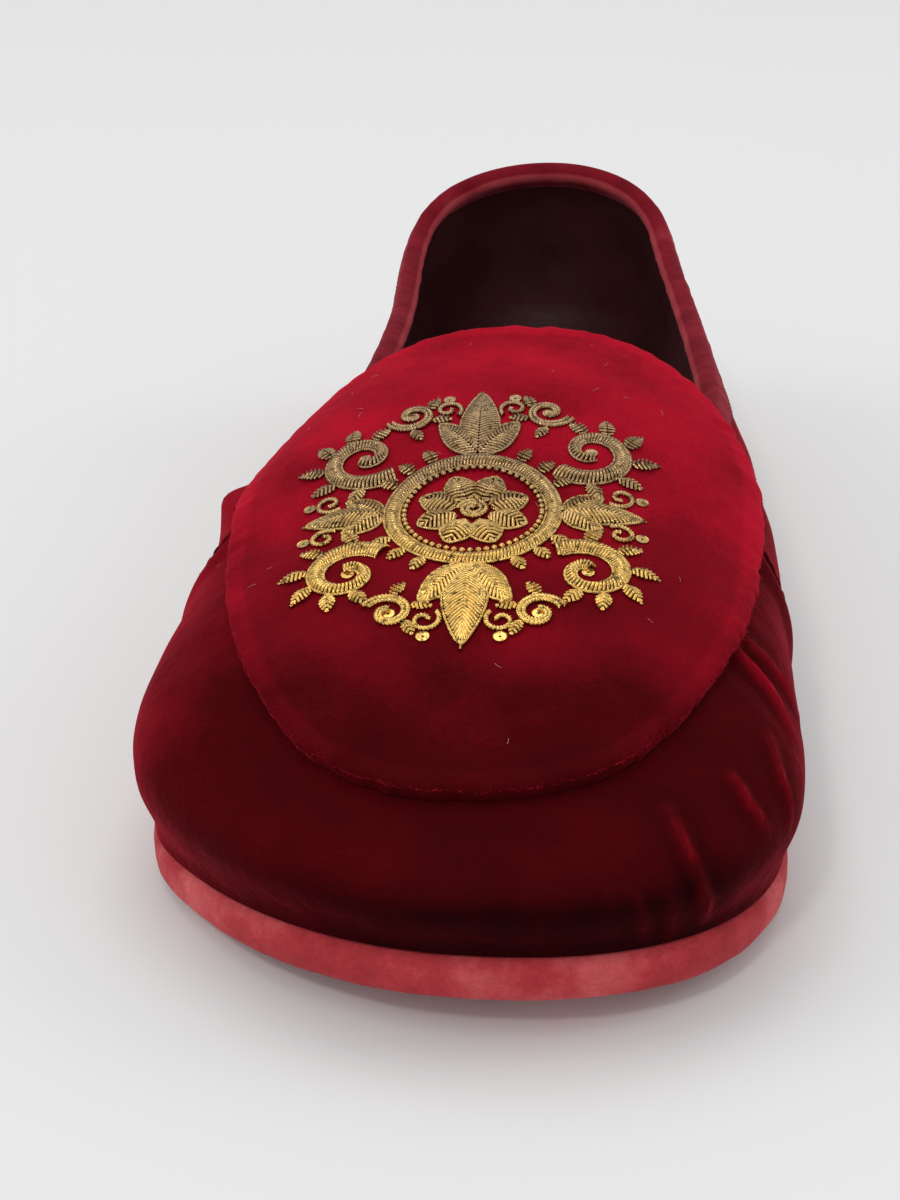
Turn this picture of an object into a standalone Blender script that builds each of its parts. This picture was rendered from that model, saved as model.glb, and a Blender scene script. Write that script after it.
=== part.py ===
"""Velvet slipper loafer, right shoe, modelled in metres with +Z up.

The toe points along -Y and the medial side of the foot lies along +X. Every form comes from one last:
a plan outline, a crown line along the instep, and a sole line with toe spring, waist and heel seat.
Distances along the shoe are measured from the toe tip and called stations.
"""

from typing import NamedTuple

import bmesh
import bpy
import numpy as np

# Driving dimensions
SHOE_LENGTH = 0.286
BALL_WIDTH = 0.1075
INSTEP_HEIGHT = 0.064
HEEL_HEIGHT = 0.0062
TOE_SPRING = 0.006
SOLE_THICKNESS = 0.0071

# The last's round ends, as lengths along the shoe and the power of their superellipse
TOE_ROUND = 0.053
TOE_POWER = 2.28
SEAT_ROUND = 0.038
SEAT_POWER = 2.1

# The upper's section: a widest line above the sole, a domed side and a tuck down to the sole
BULGE_HEIGHT = 0.0129
TUCK = 0.0025
SIDE_POWER = 2.59
CROWN_POWER = 2.25
UPPER_WALL = 0.0024
QUARTER_STEP = 0.0008
SEAM_STEP_LENGTH = 0.001
UPRIGHT_RISE = 0.2

# The apron, whose front is sewn on the vamp and whose back is the free tongue
APRON_CENTRE = 0.0977
APRON_FRONT = 0.0815
APRON_BACK = 0.0400
APRON_HALF_WIDTH = 0.0446
APRON_OFFSET = -0.0048
APRON_POWER = 2.32
APRON_THICKNESS = 0.0017
APRON_SEAT = 0.0004
TONGUE_LIFT = 0.0012
TONGUE_LIFT_START = 0.074
TONGUE_LIFT_END = 0.098

# The throat's front and the place where its curve joins the collar
THROAT_FRONT = 0.104
THROAT_END = 0.125
THROAT_POWER = 2.3

# Collar binding, insole and outsole edges
BINDING_DEPTH = 0.005
BINDING_THICKNESS = 0.001
BINDING_CLEAR = 0.0018
BINDING_SAMPLES = 26
INSOLE_THICKNESS = 0.003
INSOLE_CLEAR = 0.0006
SOLE_EDGE_ROUND = 0.0022
HEEL_INSET = 0.0012
HEEL_BREAST = 0.206
HEEL_BREAST_DEPTH = 0.006
HEEL_CHAMFER = 0.0008
FIT_GAP = 0.0003

# Mesh fineness
TOE_COLUMNS = 11
SEAT_COLUMNS = 8
SIDE_STEP = 0.0095
RISE_ROWS = 9
TUCK_ROWS = 3
APRON_SPOKES = 64
APRON_RINGS = 9
SHARP_ANGLE = 40

# Steps for slopes worked out from two near points
NORMAL_STATION_STEP = 0.002
NORMAL_ANGLE_STEP = 0.01
DOME_STEP = 0.0002


class Section(NamedTuple):
    """One section of the last: its place and its half-widths, crown and sole line."""

    place: float  # share of the shoe's length, from the toe tip
    lateral: float  # half-width on the outer side, as a share of the ball width
    medial: float  # half-width on the inner side, as a share of the ball width
    crown: float  # crown height over the sole's flat, as a share of the instep height
    spring: float  # the sole's rise at the toe, as a share of the toe spring
    lift: float  # the sole's rise at the seat, as a share of the heel height
    bulge: float  # height of the widest line over the sole, as a share of the bulge height


SECTIONS = (
    Section(0.00, 0.441, 0.421, 0.472, 1.00, 0.00, 0.62),
    Section(0.08, 0.510, 0.429, 0.532, 0.44, 0.00, 0.80),
    Section(0.14, 0.558, 0.430, 0.616, 0.14, 0.00, 0.92),
    Section(0.20, 0.573, 0.429, 0.690, 0.00, 0.00, 1.00),
    Section(0.28, 0.556, 0.428, 0.767, 0.00, 0.00, 1.00),
    Section(0.40, 0.484, 0.424, 0.902, 0.00, 0.00, 1.00),
    Section(0.47, 0.412, 0.411, 0.940, 0.00, 0.16, 1.00),
    Section(0.55, 0.356, 0.383, 0.976, 0.00, 0.50, 1.00),
    Section(0.70, 0.328, 0.341, 1.020, 0.00, 1.00, 1.00),
    Section(0.85, 0.344, 0.309, 1.074, 0.00, 1.00, 1.00),
    Section(1.00, 0.325, 0.299, 1.106, 0.00, 1.00, 1.00),
)


class CollarPoint(NamedTuple):
    """A point of the collar's top line, seen from the side."""

    station: float
    height: float


COLLAR = (
    CollarPoint(0.110, 0.0515),
    CollarPoint(0.140, 0.0488),
    CollarPoint(0.165, 0.0484),
    CollarPoint(0.200, 0.0490),
    CollarPoint(0.240, 0.0532),
    CollarPoint(0.265, 0.0598),
    CollarPoint(0.286, 0.0640),
)


class ThroatPoint(NamedTuple):
    """How far round the throat's front arc the wall line from an outline station ends."""

    station: float
    arc_degrees: float


THROAT = (
    ThroatPoint(0.000, 0.0),
    ThroatPoint(0.060, 12.0),
    ThroatPoint(0.104, 42.0),
    ThroatPoint(0.115, 68.0),
    ThroatPoint(0.125, 90.0),
)
SEAM_STATION = 0.088


class EdgeMargin(NamedTuple):
    """How far the sole's edge stands outside the upper's widest line."""

    place: float
    margin: float


EDGE_MARGINS = (
    EdgeMargin(0.00, -0.0011),
    EdgeMargin(0.15, -0.0020),
    EdgeMargin(0.30, -0.0022),
    EdgeMargin(0.50, -0.0030),
    EdgeMargin(0.70, -0.0022),
    EdgeMargin(1.00, -0.0008),
)


def smooth_curve(rows, at, value):
    """Return a smooth function through two columns of a table that never overshoots its rows."""
    xs = np.array([getattr(row, at) for row in rows])
    ys = np.array([getattr(row, value) for row in rows])
    steps = np.diff(xs)
    slopes = np.diff(ys) / steps
    tangents = np.zeros(len(xs))
    for i in range(1, len(xs) - 1):
        before, after = slopes[i - 1], slopes[i]
        if before * after > 0:
            ahead, behind = 2 * steps[i] + steps[i - 1], steps[i] + 2 * steps[i - 1]
            tangents[i] = (ahead + behind) / (ahead / before + behind / after)
    tangents[0], tangents[-1] = slopes[0], slopes[-1]

    def curve(x):
        x = np.clip(np.asarray(x, float), xs[0], xs[-1])
        i = np.clip(np.searchsorted(xs, x, side="right") - 1, 0, len(steps) - 1)
        t = (x - xs[i]) / steps[i]
        start = (1 + 2 * t) * (1 - t) ** 2 * ys[i] + t * (1 - t) ** 2 * steps[i] * tangents[i]
        end = t * t * (3 - 2 * t) * ys[i + 1] + t * t * (t - 1) * steps[i] * tangents[i + 1]
        return start + end

    return curve


lateral_share = smooth_curve(SECTIONS, "place", "lateral")
medial_share = smooth_curve(SECTIONS, "place", "medial")
crown_share = smooth_curve(SECTIONS, "place", "crown")
spring_share = smooth_curve(SECTIONS, "place", "spring")
lift_share = smooth_curve(SECTIONS, "place", "lift")
bulge_share = smooth_curve(SECTIONS, "place", "bulge")
collar_height = smooth_curve(COLLAR, "station", "height")
throat_arc = smooth_curve(THROAT, "station", "arc_degrees")
edge_margin = smooth_curve(EDGE_MARGINS, "place", "margin")


def half_width(side, station):
    """Half-width of the upper on one side: side is -1 for lateral and +1 for medial."""
    place = np.asarray(station) / SHOE_LENGTH
    share = np.where(np.asarray(side) < 0, lateral_share(place), medial_share(place))
    return share * BALL_WIDTH


def sole_bottom(station):
    """Height of the sole's underside: toe spring, flat tread, waist and raised seat."""
    place = np.asarray(station) / SHOE_LENGTH
    return TOE_SPRING * spring_share(place) + HEEL_HEIGHT * lift_share(place)


def feather_height(station):
    """Height of the sole's top face, where the upper meets it."""
    return sole_bottom(station) + SOLE_THICKNESS


def widest_height(station):
    """Height of the upper's widest line."""
    place = np.asarray(station) / SHOE_LENGTH
    return feather_height(station) + BULGE_HEIGHT * bulge_share(place)


def crown_height(station):
    """Height of the closed last along the middle of the instep."""
    return crown_share(np.asarray(station) / SHOE_LENGTH) * INSTEP_HEIGHT


def smooth_step(x, start, end):
    """Rise smoothly from 0 at start to 1 at end."""
    t = np.clip((np.asarray(x, float) - start) / (end - start), 0, 1)
    return t * t * (3 - 2 * t)


def outline_columns(extra=()):
    """Stations of one side's columns as (kind, value): toe fan angles, side stations, seat fan angles."""
    toe = [("toe", angle) for angle in np.linspace(0, np.pi / 2, TOE_COLUMNS, endpoint=False)]
    side_end = SHOE_LENGTH - SEAT_ROUND
    steps = round((side_end - TOE_ROUND) / SIDE_STEP)
    stations = list(np.linspace(TOE_ROUND, side_end, steps + 1))
    for station in extra:
        nearest = min(range(len(stations)), key=lambda i: abs(stations[i] - station))
        stations[nearest] = station
    stations = sorted(stations + [s + SEAM_STEP_LENGTH for s in extra])
    seat = [("seat", angle) for angle in np.linspace(np.pi / 2, 0, SEAT_COLUMNS + 1)[1:]]
    return toe + [("side", station) for station in stations] + seat


def outline_point(side, column, reach=1.0):
    """Plan point (x, station) of a column at a share of the way out to the widest line."""
    kind, value = column
    if kind == "toe":
        station = TOE_ROUND * (1 - reach * np.cos(value) ** (2 / TOE_POWER))
        out = reach * np.sin(value) ** (2 / TOE_POWER)
    elif kind == "side":
        station, out = value, reach
    else:
        start = SHOE_LENGTH - SEAT_ROUND
        station = start + SEAT_ROUND * reach * np.cos(value) ** (2 / SEAT_POWER)
        out = reach * np.sin(value) ** (2 / SEAT_POWER)
    return np.array([side * out * half_width(side, station), station])


def reach_at(x, station):
    """How far out a plan point lies: 0 on the last's spine, 1 on the widest line."""
    share = np.abs(x) / half_width(np.sign(x), station)
    toe = np.clip(1 - station / TOE_ROUND, 0, None)
    seat = np.clip((station - SHOE_LENGTH) / SEAT_ROUND + 1, 0, None)
    front = (share**TOE_POWER + toe**TOE_POWER) ** (1 / TOE_POWER)
    back = (share**SEAT_POWER + seat**SEAT_POWER) ** (1 / SEAT_POWER)
    return np.where(toe > 0, front, back)


def dome_height(x, station):
    """Height of the closed last's surface above a plan point."""
    reach = np.clip(reach_at(x, station), 0, 1)
    low = widest_height(station)
    return low + (crown_height(station) - low) * (1 - reach**SIDE_POWER) ** (1 / CROWN_POWER)


def dome_normal(x, station):
    """Outward unit normal (x, station, z) of the closed last's surface."""
    across = dome_height(x + DOME_STEP, station) - dome_height(x - DOME_STEP, station)
    along = dome_height(x, station + DOME_STEP) - dome_height(x, station - DOME_STEP)
    normal = np.array([-across, -along, 2 * DOME_STEP])
    return normal / np.linalg.norm(normal)


def collar_reach(station):
    """Reach at which the last's surface is as high as the collar."""
    low = widest_height(station)
    rise = (collar_height(station) - low) / (crown_height(station) - low)
    return (1 - rise**CROWN_POWER) ** (1 / SIDE_POWER)


def opening_point(side, column):
    """Plan point of the opening's edge where a column of the wall ends."""
    station = outline_point(side, column)[1]
    if station >= THROAT_END:
        return outline_point(side, column, collar_reach(station))
    half = half_width(side, THROAT_END) * collar_reach(THROAT_END)
    arc = np.radians(throat_arc(station))
    along = THROAT_END - (THROAT_END - THROAT_FRONT) * max(np.cos(arc), 0) ** (2 / THROAT_POWER)
    return np.array([side * half * np.sin(arc) ** (2 / THROAT_POWER), along])


def wall_point(side, column, rise):
    """Point (x, station, z) of the upper's outside.

    The rise is -1 at the sole, 0 at the widest line and 1 at the opening's edge.
    """
    outer = outline_point(side, column)
    if rise < 0:
        tuck = TUCK * rise * rise * (3 + 2 * rise)
        inward = -outline_normal(side, column)
        low, high = feather_height(outer[1]) + FIT_GAP, widest_height(outer[1])
        plan = outer + inward * tuck
        height = high + (high - low) * rise
    else:
        edge = opening_point(side, column)
        plan = outer + (edge - outer) * (1 - np.cos(rise * np.pi / 2))
        height = dome_height(plan[0], plan[1])
    point = np.array([plan[0], plan[1], height])
    if column[0] != "toe" and outer[1] > SEAM_STATION + SEAM_STEP_LENGTH / 2:
        upright = rise < UPRIGHT_RISE
        normal = np.append(outline_normal(side, column), 0) if upright else dome_normal(plan[0], plan[1])
        point += normal * QUARTER_STEP
    return point


def outline_normal(side, column):
    """Outward unit normal (x, station) of the plan outline at a column."""
    kind, value = column
    step = NORMAL_STATION_STEP if kind == "side" else NORMAL_ANGLE_STEP
    if kind != "side" and value < step:
        return np.array([0.0, -1.0 if kind == "toe" else 1.0])
    before = outline_point(side, (kind, value - step))
    after = outline_point(side, (kind, value + step))
    along = (after - before) * (-1 if kind == "seat" else 1)
    normal = np.array([along[1], -along[0]]) * side
    return normal / np.linalg.norm(normal)


def closed_loop(columns, point):
    """Points once round the shoe: toe tip, lateral side, heel, and back along the medial side."""
    lateral = [point(-1, column) for column in columns]
    medial = [point(1, column) for column in columns[1:-1]]
    return np.array(lateral + medial[::-1])


def to_world(points):
    """Turn (x, station, z) into world coordinates, with the toe towards -Y."""
    points = np.asarray(points, float)
    return points + np.array([0.0, -SHOE_LENGTH / 2, 0.0])


def mesh_object(name, points, faces):
    """Make an object whose faces point outwards, shaded smooth but for its sharp edges."""
    mesh = bpy.data.meshes.new(name)
    mesh.from_pydata([tuple(p) for p in to_world(points)], [], faces)
    work = bmesh.new()
    work.from_mesh(mesh)
    bmesh.ops.recalc_face_normals(work, faces=work.faces)
    work.to_mesh(mesh)
    work.free()
    mesh.shade_smooth()
    mesh.set_sharp_from_angle(angle=np.radians(SHARP_ANGLE))
    obj = bpy.data.objects.new(name, mesh)
    bpy.context.scene.collection.objects.link(obj)
    return obj


def rings_to_faces(count, around, wrap=True):
    """Quads between successive rings of points, each ring with the same number of points."""
    faces = []
    for row in range(count - 1):
        for i in range(around if wrap else around - 1):
            j = (i + 1) % around
            low, high = row * around, (row + 1) * around
            faces.append((low + i, low + j, high + j, high + i))
    return faces


def ladder_cap(first, around):
    """Close a loop laid out by closed_loop with quads from its lateral to its medial side."""
    half = around // 2
    faces = []
    for i in range(half):
        left, right = first + i, first + (around - i) % around
        next_left, next_right = first + i + 1, first + (around - i - 1) % around
        corners = dict.fromkeys((left, right, next_right, next_left))
        faces.append(tuple(corners))
    return faces


def build_slab(name, columns, rows):
    """Build a closed slab from rows of (inset from the widest line, height function), top row first."""
    rings = []
    for inset, height in rows:
        def rim(side, column, inset=inset, height=height):
            outer = outline_point(side, column)
            plan = outer - outline_normal(side, column) * inset(outer[1])
            return (plan[0], plan[1], height(outer[1]))
        rings.append(closed_loop(columns, rim))
    around = len(rings[0])
    faces = rings_to_faces(len(rings), around)
    faces += ladder_cap(0, around) + ladder_cap((len(rings) - 1) * around, around)
    return mesh_object(name, np.concatenate(rings), faces)


def edge_inset(extra):
    """Inset of the sole's edge from the widest line, less the table's margin."""
    return lambda station: extra - edge_margin(station / SHOE_LENGTH)


def build_outsole():
    """The sole slab: round-edged band, toe spring, flat tread, raised waist and flat seat."""
    rows = []
    for angle in np.radians((90, 45, 0)):
        drop = SOLE_EDGE_ROUND * (1 - np.sin(angle))
        inward = SOLE_EDGE_ROUND * (1 - np.cos(angle))
        rows.append((edge_inset(inward), lambda s, drop=drop: feather_height(s) - drop))
    for angle in np.radians((0, 45, 90)):
        drop = SOLE_EDGE_ROUND * (1 - np.sin(angle))
        inward = SOLE_EDGE_ROUND * (1 - np.cos(angle))
        rows.append((edge_inset(inward), lambda s, drop=drop: sole_bottom(s) + drop))
    return build_slab("outsole", outline_columns(), rows)


def build_insole():
    """The footbed, which lies on the outsole inside the upper's wall."""
    inset = TUCK + UPPER_WALL + INSOLE_CLEAR
    rows = [
        (lambda s: inset, lambda s: feather_height(s) + FIT_GAP + INSOLE_THICKNESS),
        (lambda s: inset, lambda s: feather_height(s) + FIT_GAP),
    ]
    return build_slab("insole", outline_columns(), rows)


def build_heel():
    """The low heel lift: the seat's outline with a hollow breast, standing flat on the floor."""
    columns = [c for c in outline_columns((HEEL_BREAST,)) if outline_point(1, c)[1] >= HEEL_BREAST - 1e-6]
    top = HEEL_HEIGHT - FIT_GAP
    edge = HEEL_CHAMFER
    rings = []
    for height, chamfer in ((0.0, edge), (edge, 0.0), (top - edge, 0.0), (top, edge)):
        ring = []
        for side, order in ((-1, columns), (1, columns[-2::-1])):
            for column in order:
                outer = outline_point(side, column)
                inset = HEEL_INSET + chamfer - edge_margin(outer[1] / SHOE_LENGTH)
                plan = outer - outline_normal(side, column) * inset
                ring.append((plan[0], max(plan[1], HEEL_BREAST + chamfer), height))
        breast_end = ring[-1][0]
        for share in (0.6, 0.2, -0.2, -0.6):
            hollow = HEEL_BREAST_DEPTH * (1 - share * share)
            ring.append((share * breast_end, HEEL_BREAST + chamfer + hollow, height))
        rings.append(ring)
    around = len(rings[0])
    faces = rings_to_faces(len(rings), around)
    faces.append(tuple(range(around)))
    faces.append(tuple(range((len(rings) - 1) * around, len(rings) * around)))
    return mesh_object("heel", np.concatenate(rings), faces)


def build_upper():
    """Vamp and quarters: one hollow wall, open at the collar, the throat and the sole."""
    columns = outline_columns((SEAM_STATION,))
    rises = list(np.linspace(-1, 0, TUCK_ROWS, endpoint=False)) + list(np.linspace(0, 1, RISE_ROWS + 1))
    rings = []
    for rise in rises:
        rings.append(closed_loop(columns, lambda side, column, rise=rise: wall_point(side, column, rise)))
    faces = rings_to_faces(len(rings), len(rings[0]))
    upper = mesh_object("upper", np.concatenate(rings), faces)
    wall = upper.modifiers.new("wall", "SOLIDIFY")
    wall.thickness = UPPER_WALL
    wall.offset = -1
    wall.use_even_offset = True
    return upper


def apron_plan(spoke, share):
    """Plan point of the apron at an angle round its outline and a share of the way out."""
    cosine, sine = np.cos(spoke), np.sin(spoke)
    length = APRON_FRONT if cosine > 0 else APRON_BACK
    x = APRON_OFFSET + share * APRON_HALF_WIDTH * np.sign(sine) * abs(sine) ** (2 / APRON_POWER)
    station = APRON_CENTRE - share * length * np.sign(cosine) * abs(cosine) ** (2 / APRON_POWER)
    return x, station


def apron_point(spoke, share, thickness):
    """Point of the apron's underside, or of its top at the apron's thickness above."""
    x, station = apron_plan(spoke, share)
    lift = APRON_SEAT + TONGUE_LIFT * smooth_step(station, TONGUE_LIFT_START, TONGUE_LIFT_END)
    return np.array([x, station, dome_height(x, station)]) + dome_normal(x, station) * (lift + thickness)


def build_apron_tongue():
    """The apron with its raised edge, which runs on as the free round tongue."""
    spokes = np.linspace(0, 2 * np.pi, APRON_SPOKES, endpoint=False)
    shares = np.linspace(1, 0, APRON_RINGS, endpoint=False)
    points = []
    faces = []
    for thickness in (APRON_THICKNESS, 0.0):
        first = len(points)
        points += [apron_point(spoke, share, thickness) for share in shares for spoke in spokes]
        points.append(apron_point(0.0, 0.0, thickness))
        faces += [tuple(first + i for i in face) for face in rings_to_faces(APRON_RINGS, APRON_SPOKES)]
        middle = len(points) - 1
        inner = middle - APRON_SPOKES
        faces += [(inner + i, inner + (i + 1) % APRON_SPOKES, middle) for i in range(APRON_SPOKES)]
    under = len(points) // 2
    for i in range(APRON_SPOKES):
        j = (i + 1) % APRON_SPOKES
        faces.append((i, j, j + under, i + under))
    return mesh_object("apron_tongue", points, faces)


def outside_apron(x, station):
    """Whether a plan point lies clear of the apron's edge."""
    across = abs(x - APRON_OFFSET) / (APRON_HALF_WIDTH + BINDING_CLEAR)
    length = (APRON_BACK if station > APRON_CENTRE else APRON_FRONT) + BINDING_CLEAR
    return across**APRON_POWER + (abs(station - APRON_CENTRE) / length) ** APRON_POWER > 1


def binding_section(side, column):
    """Closed U-shaped section of the folded tape over the collar's edge at one column."""
    line = np.array([wall_point(side, column, rise) for rise in np.linspace(0.5, 1, BINDING_SAMPLES)])
    lengths = np.linalg.norm(np.diff(line, axis=0), axis=1)
    above_edge = -np.append(np.cumsum(lengths[::-1])[::-1], 0)
    levels = []
    for drop in (BINDING_DEPTH, BINDING_DEPTH / 2, 0.0):
        levels.append(np.array([np.interp(-drop, above_edge, line[:, axis]) for axis in range(3)]))
    upward = (levels[2] - levels[1]) / np.linalg.norm(levels[2] - levels[1])
    normals = [dome_normal(point[0], point[1]) for point in levels]
    outer, inner = FIT_GAP, -(UPPER_WALL + FIT_GAP)
    section = [p + n * (outer + BINDING_THICKNESS) for p, n in zip(levels, normals)]
    top, normal = levels[2], normals[2]
    middle = (outer + inner) / 2
    for angle in np.radians((45, 90, 135)):
        across = middle + (outer + BINDING_THICKNESS - middle) * np.cos(angle)
        section.append(top + normal * across + upward * (FIT_GAP + BINDING_THICKNESS) * np.sin(angle))
    section += [p + n * (inner - BINDING_THICKNESS) for p, n in zip(levels[::-1], normals[::-1])]
    section += [p + n * inner for p, n in zip(levels, normals)]
    section.append(top + normal * inner + upward * FIT_GAP)
    section.append(top + normal * outer + upward * FIT_GAP)
    section += [p + n * outer for p, n in zip(levels[::-1], normals[::-1])]
    return section


def binding_start(side):
    """Station at which the collar comes out from under the tongue on one side."""
    near, far = APRON_CENTRE, SHOE_LENGTH / 2 + APRON_BACK
    while far - near > FIT_GAP / 3:
        middle = (near + far) / 2
        if outside_apron(*opening_point(side, ("side", middle))):
            far = middle
        else:
            near = middle
    return far


def build_collar_binding():
    """The tape folded over the collar, from one edge of the tongue round the heel to the other."""
    sections = []
    for side in (-1, 1):
        start = binding_start(side)
        clear = start + SIDE_STEP / 3
        behind = [column for column in outline_columns() if outline_point(side, column)[1] > clear]
        half = [binding_section(side, column) for column in [("side", start)] + behind]
        sections += half if side < 0 else half[-2::-1]
    around = len(sections[0])
    faces = rings_to_faces(len(sections), around)
    faces.append(tuple(range(around)))
    faces.append(tuple(range((len(sections) - 1) * around, len(sections) * around)))
    return mesh_object("collar_binding", np.concatenate(sections), faces)


class Finish(NamedTuple):
    """A surface's colour and gloss."""

    colour: tuple
    roughness: float


FINISHES = {
    "outsole": Finish((0.39, 0.055, 0.065), 0.90),
    "heel": Finish((0.39, 0.055, 0.065), 0.90),
    "insole": Finish((0.03, 0.007, 0.010), 0.60),
    "upper": Finish((0.10, 0.004, 0.010), 0.85),
    "apron_tongue": Finish((0.17, 0.006, 0.014), 0.85),
    "collar_binding": Finish((0.15, 0.015, 0.022), 0.80),
}


def dress(obj):
    """Give an object its own Principled material."""
    finish = FINISHES[obj.name]
    material = bpy.data.materials.new(obj.name)
    material.use_nodes = True
    shader = material.node_tree.nodes["Principled BSDF"]
    shader.inputs["Base Color"].default_value = (*finish.colour, 1.0)
    shader.inputs["Roughness"].default_value = finish.roughness
    shader.inputs["Metallic"].default_value = 0.0
    obj.data.materials.append(material)


def centre_on_origin(objects):
    """Slide the shoe over the floor until its bounding box is centred on the origin."""
    corners = np.array([vertex.co for obj in objects for vertex in obj.data.vertices])
    middle = (corners.min(axis=0) + corners.max(axis=0)) / 2
    for obj in objects:
        for vertex in obj.data.vertices:
            vertex.co.x -= middle[0]
            vertex.co.y -= middle[1]


def main():
    """Clear the scene and build the shoe."""
    for obj in list(bpy.data.objects):
        bpy.data.objects.remove(obj, do_unlink=True)
    pieces = [
        build_outsole(),
        build_heel(),
        build_insole(),
        build_upper(),
        build_apron_tongue(),
        build_collar_binding(),
    ]
    for piece in pieces:
        dress(piece)
    centre_on_origin(pieces)


main()
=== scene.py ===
"""Velvet slipper loafer: the looks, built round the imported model.

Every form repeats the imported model's own formulas from named sizes. Distances along the shoe are
measured from the toe tip and called stations; the toe points along -Y and the medial side along +X.
"""

from __future__ import annotations

import logging
import math
from dataclasses import dataclass, field
from enum import Enum, IntEnum
from functools import cached_property

import bmesh
import bpy
import numpy as np
from mathutils import Matrix, Vector


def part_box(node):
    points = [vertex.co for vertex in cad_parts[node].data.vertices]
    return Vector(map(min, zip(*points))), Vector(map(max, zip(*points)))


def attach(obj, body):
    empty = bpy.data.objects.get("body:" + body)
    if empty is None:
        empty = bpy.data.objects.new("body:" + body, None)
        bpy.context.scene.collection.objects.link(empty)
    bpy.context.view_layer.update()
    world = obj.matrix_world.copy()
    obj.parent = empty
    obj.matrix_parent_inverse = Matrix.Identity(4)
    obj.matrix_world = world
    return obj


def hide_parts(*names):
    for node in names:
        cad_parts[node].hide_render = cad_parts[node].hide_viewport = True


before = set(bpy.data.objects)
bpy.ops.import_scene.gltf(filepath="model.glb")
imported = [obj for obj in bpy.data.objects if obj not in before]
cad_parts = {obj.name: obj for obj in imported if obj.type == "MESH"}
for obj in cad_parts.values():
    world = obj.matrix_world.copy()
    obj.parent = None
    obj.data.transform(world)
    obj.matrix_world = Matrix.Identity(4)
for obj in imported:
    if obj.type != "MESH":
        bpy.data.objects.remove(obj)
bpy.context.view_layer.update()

log = logging.getLogger("slipper")

Colour = tuple[float, float, float]
Point = tuple[float, float, float]
Sizes = dict[str, float]
Faces = list[tuple[int, ...]]
Node = bpy.types.Node
Socket = bpy.types.NodeSocket
Material = bpy.types.Material
Piece = bpy.types.Object
Array = np.ndarray
Reals = np.ndarray | float

BODY = "root"
MM = 0.001


class Side(IntEnum):
    """The two sides of the foot, by the sign of their X."""

    LATERAL = -1
    MEDIAL = 1


class Region(IntEnum):
    """The three stretches of one side's outline."""

    TOE = 0
    SIDE = 1
    SEAT = 2


class Slot(Enum):
    """The record's material slots."""

    SOLE = "sole_suede"
    HEEL = "heel_suede"
    FOOTBED = "footbed_leather"
    UPPER = "upper_velvet"
    APRON = "apron_velvet"
    BINDING = "binding_velvet"


@dataclass(frozen=True)
class SmoothCurve:
    """A smooth curve through a short table that never overshoots its rows."""

    xs: tuple[float, ...]
    ys: tuple[float, ...]

    def __call__(self, x: Reals) -> Array:
        """Read the curve, held level beyond its ends.

        Args:
            x: Where to read it.

        Returns:
            Its values there.
        """
        xs, ys = np.array(self.xs), np.array(self.ys)
        steps = np.diff(xs)
        slopes = np.diff(ys) / steps
        tangents = np.zeros(len(xs))
        tangents[0], tangents[-1] = slopes[0], slopes[-1]
        before, after = slopes[:-1], slopes[1:]
        ahead, behind = 2 * steps[1:] + steps[:-1], steps[1:] + 2 * steps[:-1]
        with np.errstate(divide="ignore", invalid="ignore"):
            harmonic = (ahead + behind) / (ahead / before + behind / after)
        tangents[1:-1] = np.where(before * after > 0, harmonic, 0.0)
        x = np.clip(np.asarray(x, float), xs[0], xs[-1])
        i = np.clip(np.searchsorted(xs, x, side="right") - 1, 0, len(steps) - 1)
        t = (x - xs[i]) / steps[i]
        start = (1 + 2 * t) * (1 - t) ** 2 * ys[i] + t * (1 - t) ** 2 * steps[i] * tangents[i]
        end = t * t * (3 - 2 * t) * ys[i + 1] + t * t * (t - 1) * steps[i] * tangents[i + 1]
        return start + end


def smooth_step(x: Reals, start: float, end: float) -> Array:
    """Rise smoothly from 0 at start to 1 at end."""
    t = np.clip((np.asarray(x, float) - start) / (end - start), 0, 1)
    return t * t * (3 - 2 * t)


def bell(distance: Array, width: float) -> Array:
    """A soft hump of height 1 at distance 0."""
    return np.exp(-((distance / width) ** 2))


def soft_noise(points: Array, wavelength: float, seed: int, waves: int = 12) -> Array:
    """Smooth unevenness from -1 to 1 over points in space.

    Args:
        points: Points, with x, y and z along the last axis.
        wavelength: Typical distance between humps, in metres.
        seed: Fixes the directions and phases of the waves.
        waves: How many waves are added up.

    Returns:
        One value a point.
    """
    rng = np.random.default_rng(seed)
    total = np.zeros(points.shape[:-1])
    for _ in range(waves):
        direction = rng.normal(size=3)
        direction /= np.linalg.norm(direction)
        pitch = wavelength * rng.uniform(0.7, 1.5)
        total += np.sin(points @ direction * 2 * np.pi / pitch + rng.uniform(0, 2 * np.pi))
    return total / math.sqrt(waves * 2)


@dataclass
class Columns:
    """Places round the outline: a side, a stretch and a value along it for each."""

    side: Array
    region: Array
    value: Array

    def __len__(self) -> int:
        """How many places there are."""
        return len(self.side)

    def shifted(self, by: Array) -> Columns:
        """The same places moved along their stretches."""
        return Columns(self.side, self.region, self.value + by)

    def chosen(self, which: Array) -> Columns:
        """Only the places that a mask or an index list names."""
        return Columns(self.side[which], self.region[which], self.value[which])

    def ended(self, lateral: float, medial: float) -> Columns:
        """The same places between two more.

        Args:
            lateral: Station of the new first place, on the lateral side.
            medial: Station of the new last place, on the medial side.

        Returns:
            The longer run of places.
        """
        side = np.concatenate([[Side.LATERAL], self.side, [Side.MEDIAL]])
        region = np.concatenate([[Region.SIDE], self.region, [Region.SIDE]])
        return Columns(side, region, np.concatenate([[lateral], self.value, [medial]]))


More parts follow.
